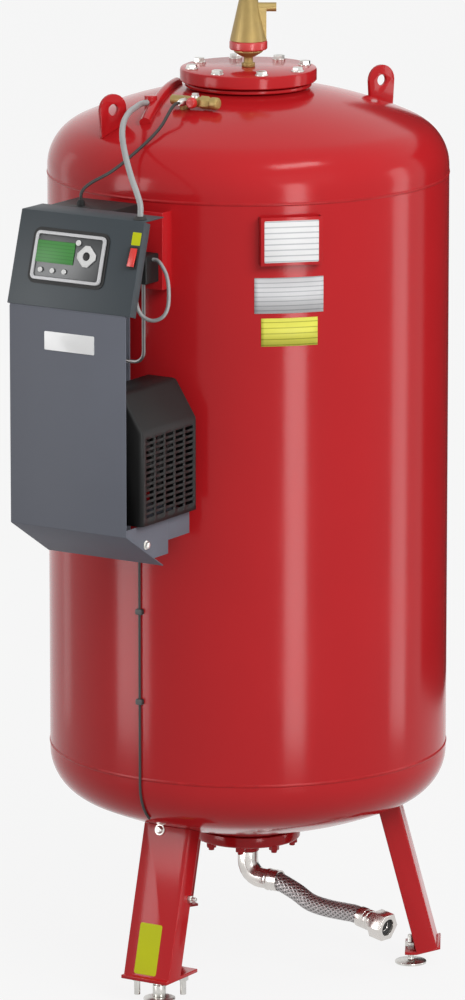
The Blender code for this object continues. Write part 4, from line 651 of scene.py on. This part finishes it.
def curved_label(name, material, first, last, low, high):
    """A film bent on the shell between two angles from the front and two levels."""
    shape = bmesh.new()
    reach = SHELL_RADIUS + LABEL_GAP
    start = Matrix.Rotation(math.radians(first), 3, "Z") @ Vector((0.0, -reach, 0.0))
    corners = [shape.verts.new(AXIS + start + Vector((0, 0, level))) for level in (low, high)]
    edge = shape.edges.new(corners)
    bmesh.ops.spin(shape, geom=[*corners, edge], cent=AXIS, axis=(0, 0, 1), dvec=(0, 0, 0),
                   angle=math.radians(last - first), steps=LABEL_STEPS, use_merge=False, use_duplicate=False)
    bmesh.ops.recalc_face_normals(shape, faces=shape.faces)
    if sum(face.normal.dot(face.calc_center_median() - AXIS) for face in shape.faces) < 0:
        bmesh.ops.reverse_faces(shape, faces=shape.faces)
    film = add_piece(name, shape, material).modifiers.new("film", "SOLIDIFY")
    film.thickness = LABEL_FILM
    film.offset = 1.0


silver_film = ruled_material("silver_film", (0.69, 0.69, 0.70), (0.42, 0.42, 0.44), 0.0085, 0.20)
curved_label("silver_label", silver_film, **SILVER_LABEL)
yellow_print = ruled_material("yellow_print", (0.77, 0.75, 0.10), (0.42, 0.40, 0.03), 0.0105, 0.16)
curved_label("yellow_label", yellow_print, **YELLOW_LABEL)

# Control unit frame: a red hat bracket on the shell, and the folded steel spine and shelf bolted to it.
# The spine and the shelf are powder-coated grey like the panel that they carry.
powder_grey = finished("powder_grey", (0.145, 0.154, 0.185), 0.58, slot="panel_grey", tone=0.05, patch=5.0,
                       drift=0.05, grain=1300.0, relief=0.16, Specular_IOR_Level=0.12)
dress_node("unit_bracket", gloss_red, 0.0008)
dress_node("unit_spine", powder_grey, 0.0006)
dress_node("compressor_shelf", powder_grey, 0.0005)

# Front panel: one powder-coated sheet with a slanted bottom lip, two side cheeks and a folded top edge.
# It carries a bare white badge plate, and a plated screw holds each cheek to the shelf.
PANEL_FACE = -0.4975
FOLD_LEVELS = (1.3612, 1.3653)
FOLD_DEPTHS = (0.0007, 0.0075)
FOLD_PLACE = (0.003, PANEL_FACE + FOLD_DEPTHS[1], sum(FOLD_LEVELS) / 2)
FOLD = {"width": 0.249, "height": FOLD_LEVELS[1] - FOLD_LEVELS[0], "depth": FOLD_DEPTHS[1] - FOLD_DEPTHS[0],
        "corner": 0.0004}
BADGE_PLACE = (0.0075, PANEL_FACE, 1.305)
BADGE = {"width": 0.107, "height": 0.034, "depth": 0.0012, "corner": 0.002, "edge": 0.0004}
CHEEKS = ((0.128, math.pi / 2), (-0.122, -math.pi / 2))
CHEEK_SCREW_Y = -0.4315
CHEEK_SCREW_LEVEL = 0.934
CHEEK_SCREW = {"washer": (0.0085, 0.0015), "head": (0.0115, 0.005)}
dress_node("front_panel", powder_grey, 0.0007)
add_plates("panel_top_fold", powder_grey, [at(FOLD_PLACE) @ FACING_FRONT], **FOLD)
badge_white = finished("badge_white", (0.80, 0.80, 0.80), 0.35, tone=0.02, patch=30.0, grain=700.0,
                       relief=0.03, Coat_Weight=0.3)
add_plates("badge_plate", badge_white, [at(BADGE_PLACE) @ FACING_FRONT], **BADGE)
screw_shape = bmesh.new()
for x, turn in CHEEKS:
    cheek = at((x, CHEEK_SCREW_Y, CHEEK_SCREW_LEVEL)) @ Matrix.Rotation(turn, 4, "Y")
    add_bolt(screw_shape, cheek, **CHEEK_SCREW)
add_piece("cheek_screws", screw_shape, plated_steel)

# Upper cover: a darker sheet that leans back over the black control box, with a rubber grommet in its roof.
# A small bare yellow film sits above the main switch.
COVER_LEAN = math.radians(17)
COVER_FOOT = (0.0, PANEL_FACE, 1.3655)
COVER_LABEL_PLACE = (0.1255, 0.141, 0.0)
COVER_LABEL = {"width": 0.0185, "height": 0.0235, "depth": LABEL_FILM, "corner": 0.0015}
cover_front = at(COVER_FOOT) @ Matrix.Rotation(math.pi / 2 - COVER_LEAN, 4, "X")
powder_dark = finished("powder_dark", (0.046, 0.057, 0.065), 0.50, slot="cover_grey", tone=0.05, patch=5.0,
                       drift=0.05, grain=1300.0, relief=0.16, Specular_IOR_Level=0.22)
moulded_black = finished("moulded_black", (0.015, 0.015, 0.015), 0.48, slot="black_plastic", tone=0.10,
                         patch=15.0, grain=1600.0, relief=0.14, Specular_IOR_Level=0.18)
soft_rubber = finished("soft_rubber", (0.018, 0.018, 0.018), 0.70, slot="black_rubber", tone=0.12, patch=30.0,
                       grain=800.0, relief=0.15)
dress_node("upper_cover", powder_dark, 0.0007)
dress_node("control_box", moulded_black, 0.0012)
dress_node("roof_grommet", soft_rubber, 0.0010)
add_plates("cover_label", yellow_film, [cover_front @ at(COVER_LABEL_PLACE)], **COVER_LABEL)

# Display: a satin silver bezel in a dark gasket, a black face, a green screen and white rubber keys.
# The keys press in, each on its own, and the navigation ring does so round the enter key.
DISPLAY_CENTRE = (-0.0095, 0.093, 0.0)
GASKET = {"width": 0.163, "height": 0.102, "corner": 0.0155, "rim": 0.0063, "depth": 0.0022}
KEYS = {"soft_key_1": "left_key", "soft_key_2": "middle_key", "soft_key_3": "right_key",
        "menu_key": "menu_button", "navigation_ring": "navigation_pad"}


def add_flat(shape, place, width, height):
    """One flat face that lies on the plane of its place."""
    size = Matrix.Diagonal((width, height, 1.0, 1.0))
    bmesh.ops.create_grid(shape, x_segments=1, y_segments=1, size=0.5, matrix=place @ size)


def draw_out(shape, faces, travel):
    """Draws faces out into a solid."""
    drawn = bmesh.ops.extrude_face_region(shape, geom=faces, use_keep_orig=True)
    moved = [item for item in drawn["geom"] if isinstance(item, bmesh.types.BMVert)]
    bmesh.ops.translate(shape, verts=moved, vec=travel)
    bmesh.ops.recalc_face_normals(shape, faces=shape.faces)


display_place = cover_front @ at(DISPLAY_CENTRE)
satin_silver = finished("satin_silver", (0.52, 0.52, 0.53), 0.55, slot="silver_trim", tone=0.06, patch=30.0,
                        grain=1200.0, relief=0.06, Metallic=0.15, Specular_IOR_Level=0.25)
face_black = finished("face_black", (0.030, 0.033, 0.035), 0.30, slot="black_plastic", tone=0.05, patch=20.0,
                      grain=900.0, relief=0.03)
key_white = finished("key_white", (0.72, 0.72, 0.71), 0.50, slot="key_white", tone=0.03, patch=80.0,
                     grain=900.0, relief=0.06)
gasket_shape = bmesh.new()
add_flat(gasket_shape, display_place, GASKET["width"], GASKET["height"])
round_edges(gasket_shape, gasket_shape.verts[:], GASKET["corner"], segments=8, affect="VERTICES")
bmesh.ops.inset_region(gasket_shape, faces=gasket_shape.faces[:], thickness=GASKET["rim"], depth=0.0,
                       use_boundary=True, use_even_offset=True)
window = max(gasket_shape.faces, key=lambda face: face.calc_area())
bmesh.ops.delete(gasket_shape, geom=[window], context="FACES")
draw_out(gasket_shape, gasket_shape.faces[:], display_place.to_3x3() @ Vector((0, 0, GASKET["depth"])))
add_piece("display_gasket", gasket_shape, moulded_black)
dress_node("display_bezel", satin_silver, 0.0014, segments=3)
dress_node("display_face", face_black, 0.0004)
screen_green = ruled_material("screen_green", (0.060, 0.25, 0.056), (0.045, 0.19, 0.042), 0.006, 0.25,
                              slot="green_screen", Emission_Color=(0.05, 0.30, 0.05, 1.0),
                              Emission_Strength=0.06)
dress_node("display_screen", screen_green, 0.0003)
for node, body in KEYS.items():
    dress_node(node, key_white, 0.0005, body=body)
dress_node("enter_key", moulded_black, 0.0004, body="enter_button")

# Main switch: a moulded red rocker in a black frame that snaps in at the right edge of the cover.
# The rocker tips about its middle between on and off.
rocker_red = finished("rocker_red", (0.72, 0.03, 0.02), 0.32, slot="signal_red", tone=0.03, patch=60.0,
                      grain=900.0, relief=0.04)
dress_node("switch_frame", moulded_black, 0.0005)
dress_node("main_switch_rocker", rocker_red, 0.0008, body="main_switch")

# Compressor: a ribbed cast motor on a rail, a finned aluminium pump head and a fan.
# A moulded black hood covers the fan and the motor's right end. It is open below and towards the motor,
# and has five columns of air slots in its right side.
MOTOR_MIDDLE = Vector((-0.0275, -0.3728, 1.0743))
MOTOR_RADIUS = 0.066
RIB_ROOT = MOTOR_RADIUS - 0.0004
RIB_TURNS = [side * turn for turn in range(30, 151, 10) for side in (-1, 1)]
RIB = {"width": 0.125, "height": 0.0022, "depth": 0.0032, "corner": 0.0008}
FIN_MIDDLE = (-0.057, -0.3138)
FIN_STACK = {"low": 1.160, "pitch": 0.008, "count": 9}
FIN = {"width": 0.076, "height": 0.0646, "depth": 0.002, "corner": 0.004}
SHIELD_FACE = -0.1024
SHIELD_BOLT_CIRCLE = 0.052
SHIELD_BOLT = (0.008, 0.005)
HEAD_BOLT_PLACES = [(-0.057 + x, -0.3121 + y) for x in (-0.024, 0.024) for y in (-0.021, 0.021)]
HEAD_BOLT = (0.010, 0.006)
HOOD = {"left": 0.040, "right": 0.142, "front": -0.4655, "back": -0.2795, "low": 0.9743, "top": 1.215,
        "shoulder_x": 0.098, "shoulder_z": 1.146}
HOOD_WALL = 0.003
HOOD_EDGE = {"offset": 0.007, "segments": 4}
HOOD_FOLD = math.radians(20)
SLOT_FIELDS = ({"axis": 1, "low": -0.4545, "high": -0.2905, "count": 5, "open": 0.80},
               {"axis": 2, "low": 0.986, "high": 1.136, "count": 14, "open": 0.56})
motor_black = finished("motor_black", (0.030, 0.030, 0.031), 0.55, slot="black_plastic", tone=0.12,
                       patch=18.0, grain=450.0, relief=0.25)
cast_aluminium = finished("cast_aluminium", (0.55, 0.55, 0.56), 0.42, slot="silver_trim", tone=0.10,
                          patch=25.0, grain=500.0, relief=0.2, Metallic=0.95)
dress_node("compressor_motor", motor_black, 0.0015)
dress_node("pump_head", cast_aluminium, 0.0015)
dress_node("cooling_fan", moulded_black, 0.0008, body="fan")
on_motor = at(MOTOR_MIDDLE)
rib_places = [raised(on_motor @ Matrix.Rotation(math.radians(turn), 4, "X"), RIB_ROOT) for turn in RIB_TURNS]
add_plates("motor_ribs", motor_black, rib_places, **RIB)
fin_places = [at((*FIN_MIDDLE, FIN_STACK["low"] + number * FIN_STACK["pitch"]))
              for number in range(FIN_STACK["count"])]
add_plates("pump_fins", cast_aluminium, fin_places, **FIN)
compressor_bolt_shape = bmesh.new()
shield = at((SHIELD_FACE, *MOTOR_MIDDLE.yz)) @ Matrix.Rotation(-math.pi / 2, 4, "Y")
for quarter in range(4):
    turn = Matrix.Rotation(math.pi / 4 + quarter * math.pi / 2, 4, "Z")
    seat = shield @ turn @ at((SHIELD_BOLT_CIRCLE, 0, 0))
    add_hexagon(compressor_bolt_shape, seat, *SHIELD_BOLT)
for x, y in HEAD_BOLT_PLACES:
    seat = at((x, y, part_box("pump_head")[1].z))
    add_hexagon(compressor_bolt_shape, seat, *HEAD_BOLT)
add_piece("compressor_bolts", compressor_bolt_shape, plated_steel)


def in_a_slot(face):
    """Whether a face of the hood's right side lies in one of the air slots."""
    centre = face.calc_center_median()
    for field in SLOT_FIELDS:
        step = (centre[field["axis"]] - field["low"]) / (field["high"] - field["low"]) * field["count"]
        if not (0 < step < field["count"] and abs(step % 1 - 0.5) < field["open"] / 2):
            return False
    return True


hood_shape = bmesh.new()
section = ((HOOD["left"], HOOD["low"]), (HOOD["right"], HOOD["low"]), (HOOD["right"], HOOD["shoulder_z"]),
           (HOOD["shoulder_x"], HOOD["top"]), (HOOD["left"], HOOD["top"]))
front_face = hood_shape.faces.new([hood_shape.verts.new((x, HOOD["front"], z)) for x, z in section])
draw_out(hood_shape, [front_face], (0, HOOD["back"] - HOOD["front"], 0))
open_sides = [face for face in hood_shape.faces if face.normal.x < -FACING or face.normal.z < -FACING]
bmesh.ops.delete(hood_shape, geom=open_sides, context="FACES_ONLY")
long_edges = [line for line in hood_shape.edges
              if len(line.link_faces) == 2 and line.calc_face_angle() > HOOD_FOLD]
round_edges(hood_shape, long_edges, **HOOD_EDGE)
for field in SLOT_FIELDS:
    normal = Vector([float(axis == field["axis"]) for axis in range(3)])
    pitch = (field["high"] - field["low"]) / field["count"]
    for number in range(field["count"]):
        middle = field["low"] + pitch * (number + 0.5)
        for place in (middle - pitch * field["open"] / 2, middle + pitch * field["open"] / 2):
            side = [face for face in hood_shape.faces if face.normal.x > FLAT]
            around = {item for face in side for item in (*face.edges, *face.verts)}
            bmesh.ops.bisect_plane(hood_shape, geom=[*side, *around], dist=TOUCHING, plane_co=normal * place,
                                   plane_no=normal)
slots = [face for face in hood_shape.faces if face.normal.x > FLAT and in_a_slot(face)]
bmesh.ops.delete(hood_shape, geom=slots, context="FACES")
compressor_hood = add_piece("compressor_hood_moulded", hood_shape, moulded_black, sharp=30.0)
hood_wall = compressor_hood.modifiers.new("wall", "SOLIDIFY")
hood_wall.thickness = HOOD_WALL
hood_wall.offset = -1.0
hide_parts("compressor_hood")

# Solenoid valve: a moulded black coil on the red bracket.
# A bent pipe of drawn steel feeds it from the pump head.
dress_node("solenoid_valve", moulded_black, 0.0012)
drawn_steel = finished("drawn_steel", (0.22, 0.21, 0.21), 0.40, slot="zinc_steel", tone=0.10, patch=30.0,
                       grain=800.0, relief=0.06, Metallic=0.8)
dress_node("delivery_pipe", drawn_steel, 0.0)

# Air fittings on the upper head: a red welded inlet boss, and a brass branch with its sensor, red knob,
# safety valve and plated plug. The branch is screwed into a welded socket.
PLUG_FOOT = (0.004, -0.0675, 1.6906)
PLUG = {"washer": (0.0080, 0.0070), "head": (0.0110, 0.0040), "steps": 20}
knob_red = finished("knob_red", (0.60, 0.02, 0.02), 0.35, slot="signal_red", tone=0.04, patch=60.0,
                    grain=700.0, relief=0.06)
dress_node("air_inlet", gloss_red, 0.0012)
dress_node("air_branch", cast_brass, 0.0010)
dress_node("pressure_sensor", plated_steel, 0.0006)
dress_node("shut_off_knob", knob_red, 0.0010, body="air_shut_off")
dress_node("safety_valve_body", cast_brass, 0.0008)
dress_node("safety_valve_cap", cast_brass, 0.0010, body="safety_cap")
plug_shape = bmesh.new()
add_bolt(plug_shape, at(PLUG_FOOT), **PLUG)
add_piece("branch_plug", plug_shape, plated_steel)

# Flexible lines of the control unit: the grey air hose to the inlet, the black sensor cable to its gland,
# and the looped control hose between the valve and the box. Each ends in the object.
AIR_HOSE = {"radius": 0.0055, "points": [
    (0.117, -0.4303, 1.5371), (0.117, -0.4303, 1.5571), (0.110, -0.4315, 1.580), (0.095, -0.4255, 1.605),
    (0.073, -0.4095, 1.637), (0.045, -0.3775, 1.6655), (0.014, -0.3275, 1.679), (-0.022, -0.2625, 1.681),
    (-0.055, -0.1975, 1.680), (-0.077, -0.1425, 1.679), (-0.095, -0.1001, 1.677), (-0.095, -0.0781, 1.677)]}
SENSOR_CABLE = {"radius": 0.003, "points": [
    (-0.012, -0.0996, 1.6856), (-0.012, -0.1096, 1.6856), (-0.0118, -0.1235, 1.680),
    (-0.0112, -0.1395, 1.668), (-0.0100, -0.1585, 1.6545), (-0.0098, -0.1825, 1.6415),
    (-0.0145, -0.2125, 1.6250), (-0.0200, -0.2425, 1.6100), (-0.0270, -0.2755, 1.5940),
    (-0.0360, -0.2965, 1.5825), (-0.0450, -0.3125, 1.5750), (-0.0540, -0.3290, 1.5675),
    (-0.0605, -0.3415, 1.5590), (-0.0634, -0.3473, 1.5510), (-0.064, -0.3485, 1.5445),
    (-0.064, -0.3485, 1.5385)]}
LOOP_HOSE = {"radius": 0.0035, "points": [
    (0.0593, -0.2998, 1.432), (0.0673, -0.2998, 1.432), (0.0815, -0.3075, 1.4275), (0.0985, -0.3145, 1.4090),
    (0.107, -0.3205, 1.384), (0.109, -0.3265, 1.354), (0.1012, -0.3320, 1.3353), (0.0825, -0.3375, 1.3275),
    (0.0638, -0.3425, 1.3353), (0.056, -0.3475, 1.354), (0.0553, -0.3515, 1.378), (0.0515, -0.3550, 1.400),
    (0.0415, -0.3575, 1.4170), (0.0263, -0.3575, 1.4235), (0.0183, -0.3575, 1.4235)]}
hose_grey = finished("hose_grey", (0.34, 0.35, 0.35), 0.45, slot="hose_grey", tone=0.05, patch=30.0,
                     grain=700.0, relief=0.08)
for name, line, material in (("air_hose", AIR_HOSE, hose_grey), ("sensor_cable", SENSOR_CABLE, cable_black),
                             ("loop_hose", LOOP_HOSE, hose_grey)):
    route = smooth_route(line["points"])
    piece = add_piece(f"{name}_line", sweep_tube(route, line["radius"], LINE_SIDES), material)
    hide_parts(name)
    tuple(route[0])
    route_length(route)
    [tuple(point) for point in route]

# Stage: a plain pale floor, on which the vessel stands, in a white studio.
# Floor and world are bright to the camera and in reflections, and dimmer as light on the surfaces.
FLOOR_WIDTH = 60.0
FLOOR_SEEN = 0.88
WORLD_DIFFUSE = 0.62


def seen_rays(tree):
    """One where the camera, a mirror or a glass looks on, and nought for light that is only scattered."""
    rays = add_node(tree, "LightPath").outputs
    seen = rays["Is Camera Ray"]
    for label in ("Is Glossy Ray", "Is Transmission Ray"):
        seen = add_node(tree, "Math", "MAXIMUM", {0: seen, 1: rays[label]}).outputs["Value"]
    return seen


def add_sheet(name, place, width, height, material):
    """A flat sheet of the studio, which is no piece of the vessel."""
    shape = bmesh.new()
    add_flat(shape, place, width, height)
    return add_object(name, shape, material)


pale_floor = bpy.data.materials.new("pale_floor")
pale_floor.use_nodes = True
floor_tree = pale_floor.node_tree
matt = floor_tree.nodes["Principled BSDF"]
matt.inputs["Base Color"].default_value = (0.50, 0.50, 0.50, 1.0)
matt.inputs["Roughness"].default_value = 0.7
matt.inputs["Specular IOR Level"].default_value = 0.0
glow = add_node(floor_tree, "Emission")
glow_share = add_node(floor_tree, "Math", "MULTIPLY", {0: seen_rays(floor_tree), 1: FLOOR_SEEN})
floor_mix = add_node(floor_tree, "MixShader", None, {
    0: glow_share.outputs["Value"], 1: matt.outputs["BSDF"], 2: glow.outputs["Emission"]})
floor_tree.links.new(floor_mix.outputs["Shader"], floor_tree.nodes["Material Output"].inputs["Surface"])
floor = add_sheet("studio_floor", Matrix(), FLOOR_WIDTH, FLOOR_WIDTH, pale_floor)
world = bpy.data.worlds.new("studio")
bpy.context.scene.world = world
world.use_nodes = True
sky = world.node_tree.nodes["Background"]
sky.inputs["Color"].default_value = (1.0, 1.0, 1.0, 1.0)
sky_level = add_node(world.node_tree, "MapRange", None, {
    "Value": seen_rays(world.node_tree), "To Min": WORLD_DIFFUSE, "To Max": 1.0})
world.node_tree.links.new(sky_level.outputs["Result"], sky.inputs["Strength"])

# Light: one high soft box gives the light and shade. Tall strips draw upright highlights in the paint.
# A dark flag behind the right edge keeps that edge from washing out. Each stands at a turn from the front.
STRIP_REACH = 1.95
STRIP_MIDDLE = 1.1
STRIP_HEIGHT = 2.1
STRIPS = {"right_strip": (56.5, 0.38, 24.0), "far_right_strip": (121.0, 0.40, 10.5),
          "left_strip": (-32.0, 0.70, 28.0), "far_left_strip": (-88.0, 0.30, 1.5)}
HIGH_BOX = {"place": (65.0, 5.0, 4.2), "size": (3.6, 2.4), "power": 178.0, "aim_level": 1.0}
DOME_STRIP = {"place": (73.0, 2.2, 5.05), "size": (1.6, 0.55), "power": 38.0, "aim_level": UPPER_WELD}
FLAG = {"turn": 172.0, "reach": 2.2, "width": 2.3, "height": 2.6}


def round_the_vessel(turn, reach, height):
    """A place at a turn from the front, counted towards the right, and at a reach from the vessel's axis."""
    outward = Matrix.Rotation(math.radians(turn), 3, "Z") @ Vector((0.0, -reach, 0.0))
    return AXIS + outward + Vector((0, 0, height))


def add_lamp(name, place, size, power, aim_level, lights_surfaces):
    """A soft box that either lights the surfaces or is only mirrored in them."""
    lamp = bpy.data.lights.new(name, "AREA")
    lamp.shape = "RECTANGLE"
    lamp.size, lamp.size_y = size
    lamp.energy = power
    box = bpy.data.objects.new(name, lamp)
    box.location = round_the_vessel(*place)
    aim = AXIS + Vector((0, 0, aim_level)) - round_the_vessel(*place)
    box.rotation_euler = aim.to_track_quat("-Z", "Y").to_euler()
    box.visible_camera = False
    box.visible_diffuse = lights_surfaces
    box.visible_glossy = not lights_surfaces
    bpy.context.scene.collection.objects.link(box)


add_lamp("high_box", **HIGH_BOX, lights_surfaces=True)
add_lamp("dome_strip", **DOME_STRIP, lights_surfaces=False)
for name, (turn, width, power) in STRIPS.items():
    add_lamp(name, (turn, STRIP_REACH, STRIP_MIDDLE), (width, STRIP_HEIGHT), power, STRIP_MIDDLE,
             lights_surfaces=False)
flag_cloth = finished("flag_cloth", (0.02, 0.02, 0.02), 0.9)
flag_middle = at(round_the_vessel(FLAG["turn"], FLAG["reach"], FLAG["height"] / 2))
flag_place = flag_middle @ Matrix.Rotation(math.radians(FLAG["turn"]), 4, "Z") @ FACING_FRONT
flag = add_sheet("dark_flag", flag_place, FLAG["width"], FLAG["height"], flag_cloth)
for rays in ("camera", "diffuse", "shadow", "transmission", "volume_scatter"):
    setattr(flag, f"visible_{rays}", False)

# Camera: where the photograph was taken from, to the right of the unit's front and above the lid.
# It has a long lens, and the upper edge of the picture cuts off the vent.
VIEW_TURN = math.radians(32)
VIEW_REACH = 13.389
VIEW_HEIGHT = 3.822
VIEW_LENS = 261.9
VIEW_SENSOR = 36.0
FORWARD = Vector((-0.00215, 0.977, -0.2132))
view = bpy.data.cameras.new("photo_view")
view.lens = VIEW_LENS
view.sensor_width = VIEW_SENSOR
camera = bpy.data.objects.new("photo_view", view)
camera.location = (VIEW_REACH * math.sin(VIEW_TURN), AXIS.y - VIEW_REACH * math.cos(VIEW_TURN), VIEW_HEIGHT)
gaze = Matrix.Rotation(VIEW_TURN, 3, "Z") @ FORWARD
camera.rotation_euler = gaze.to_track_quat("-Z", "Y").to_euler()
bpy.context.scene.collection.objects.link(camera)
bpy.context.scene.camera = camera
bpy.context.scene.view_settings.view_transform = "Standard"
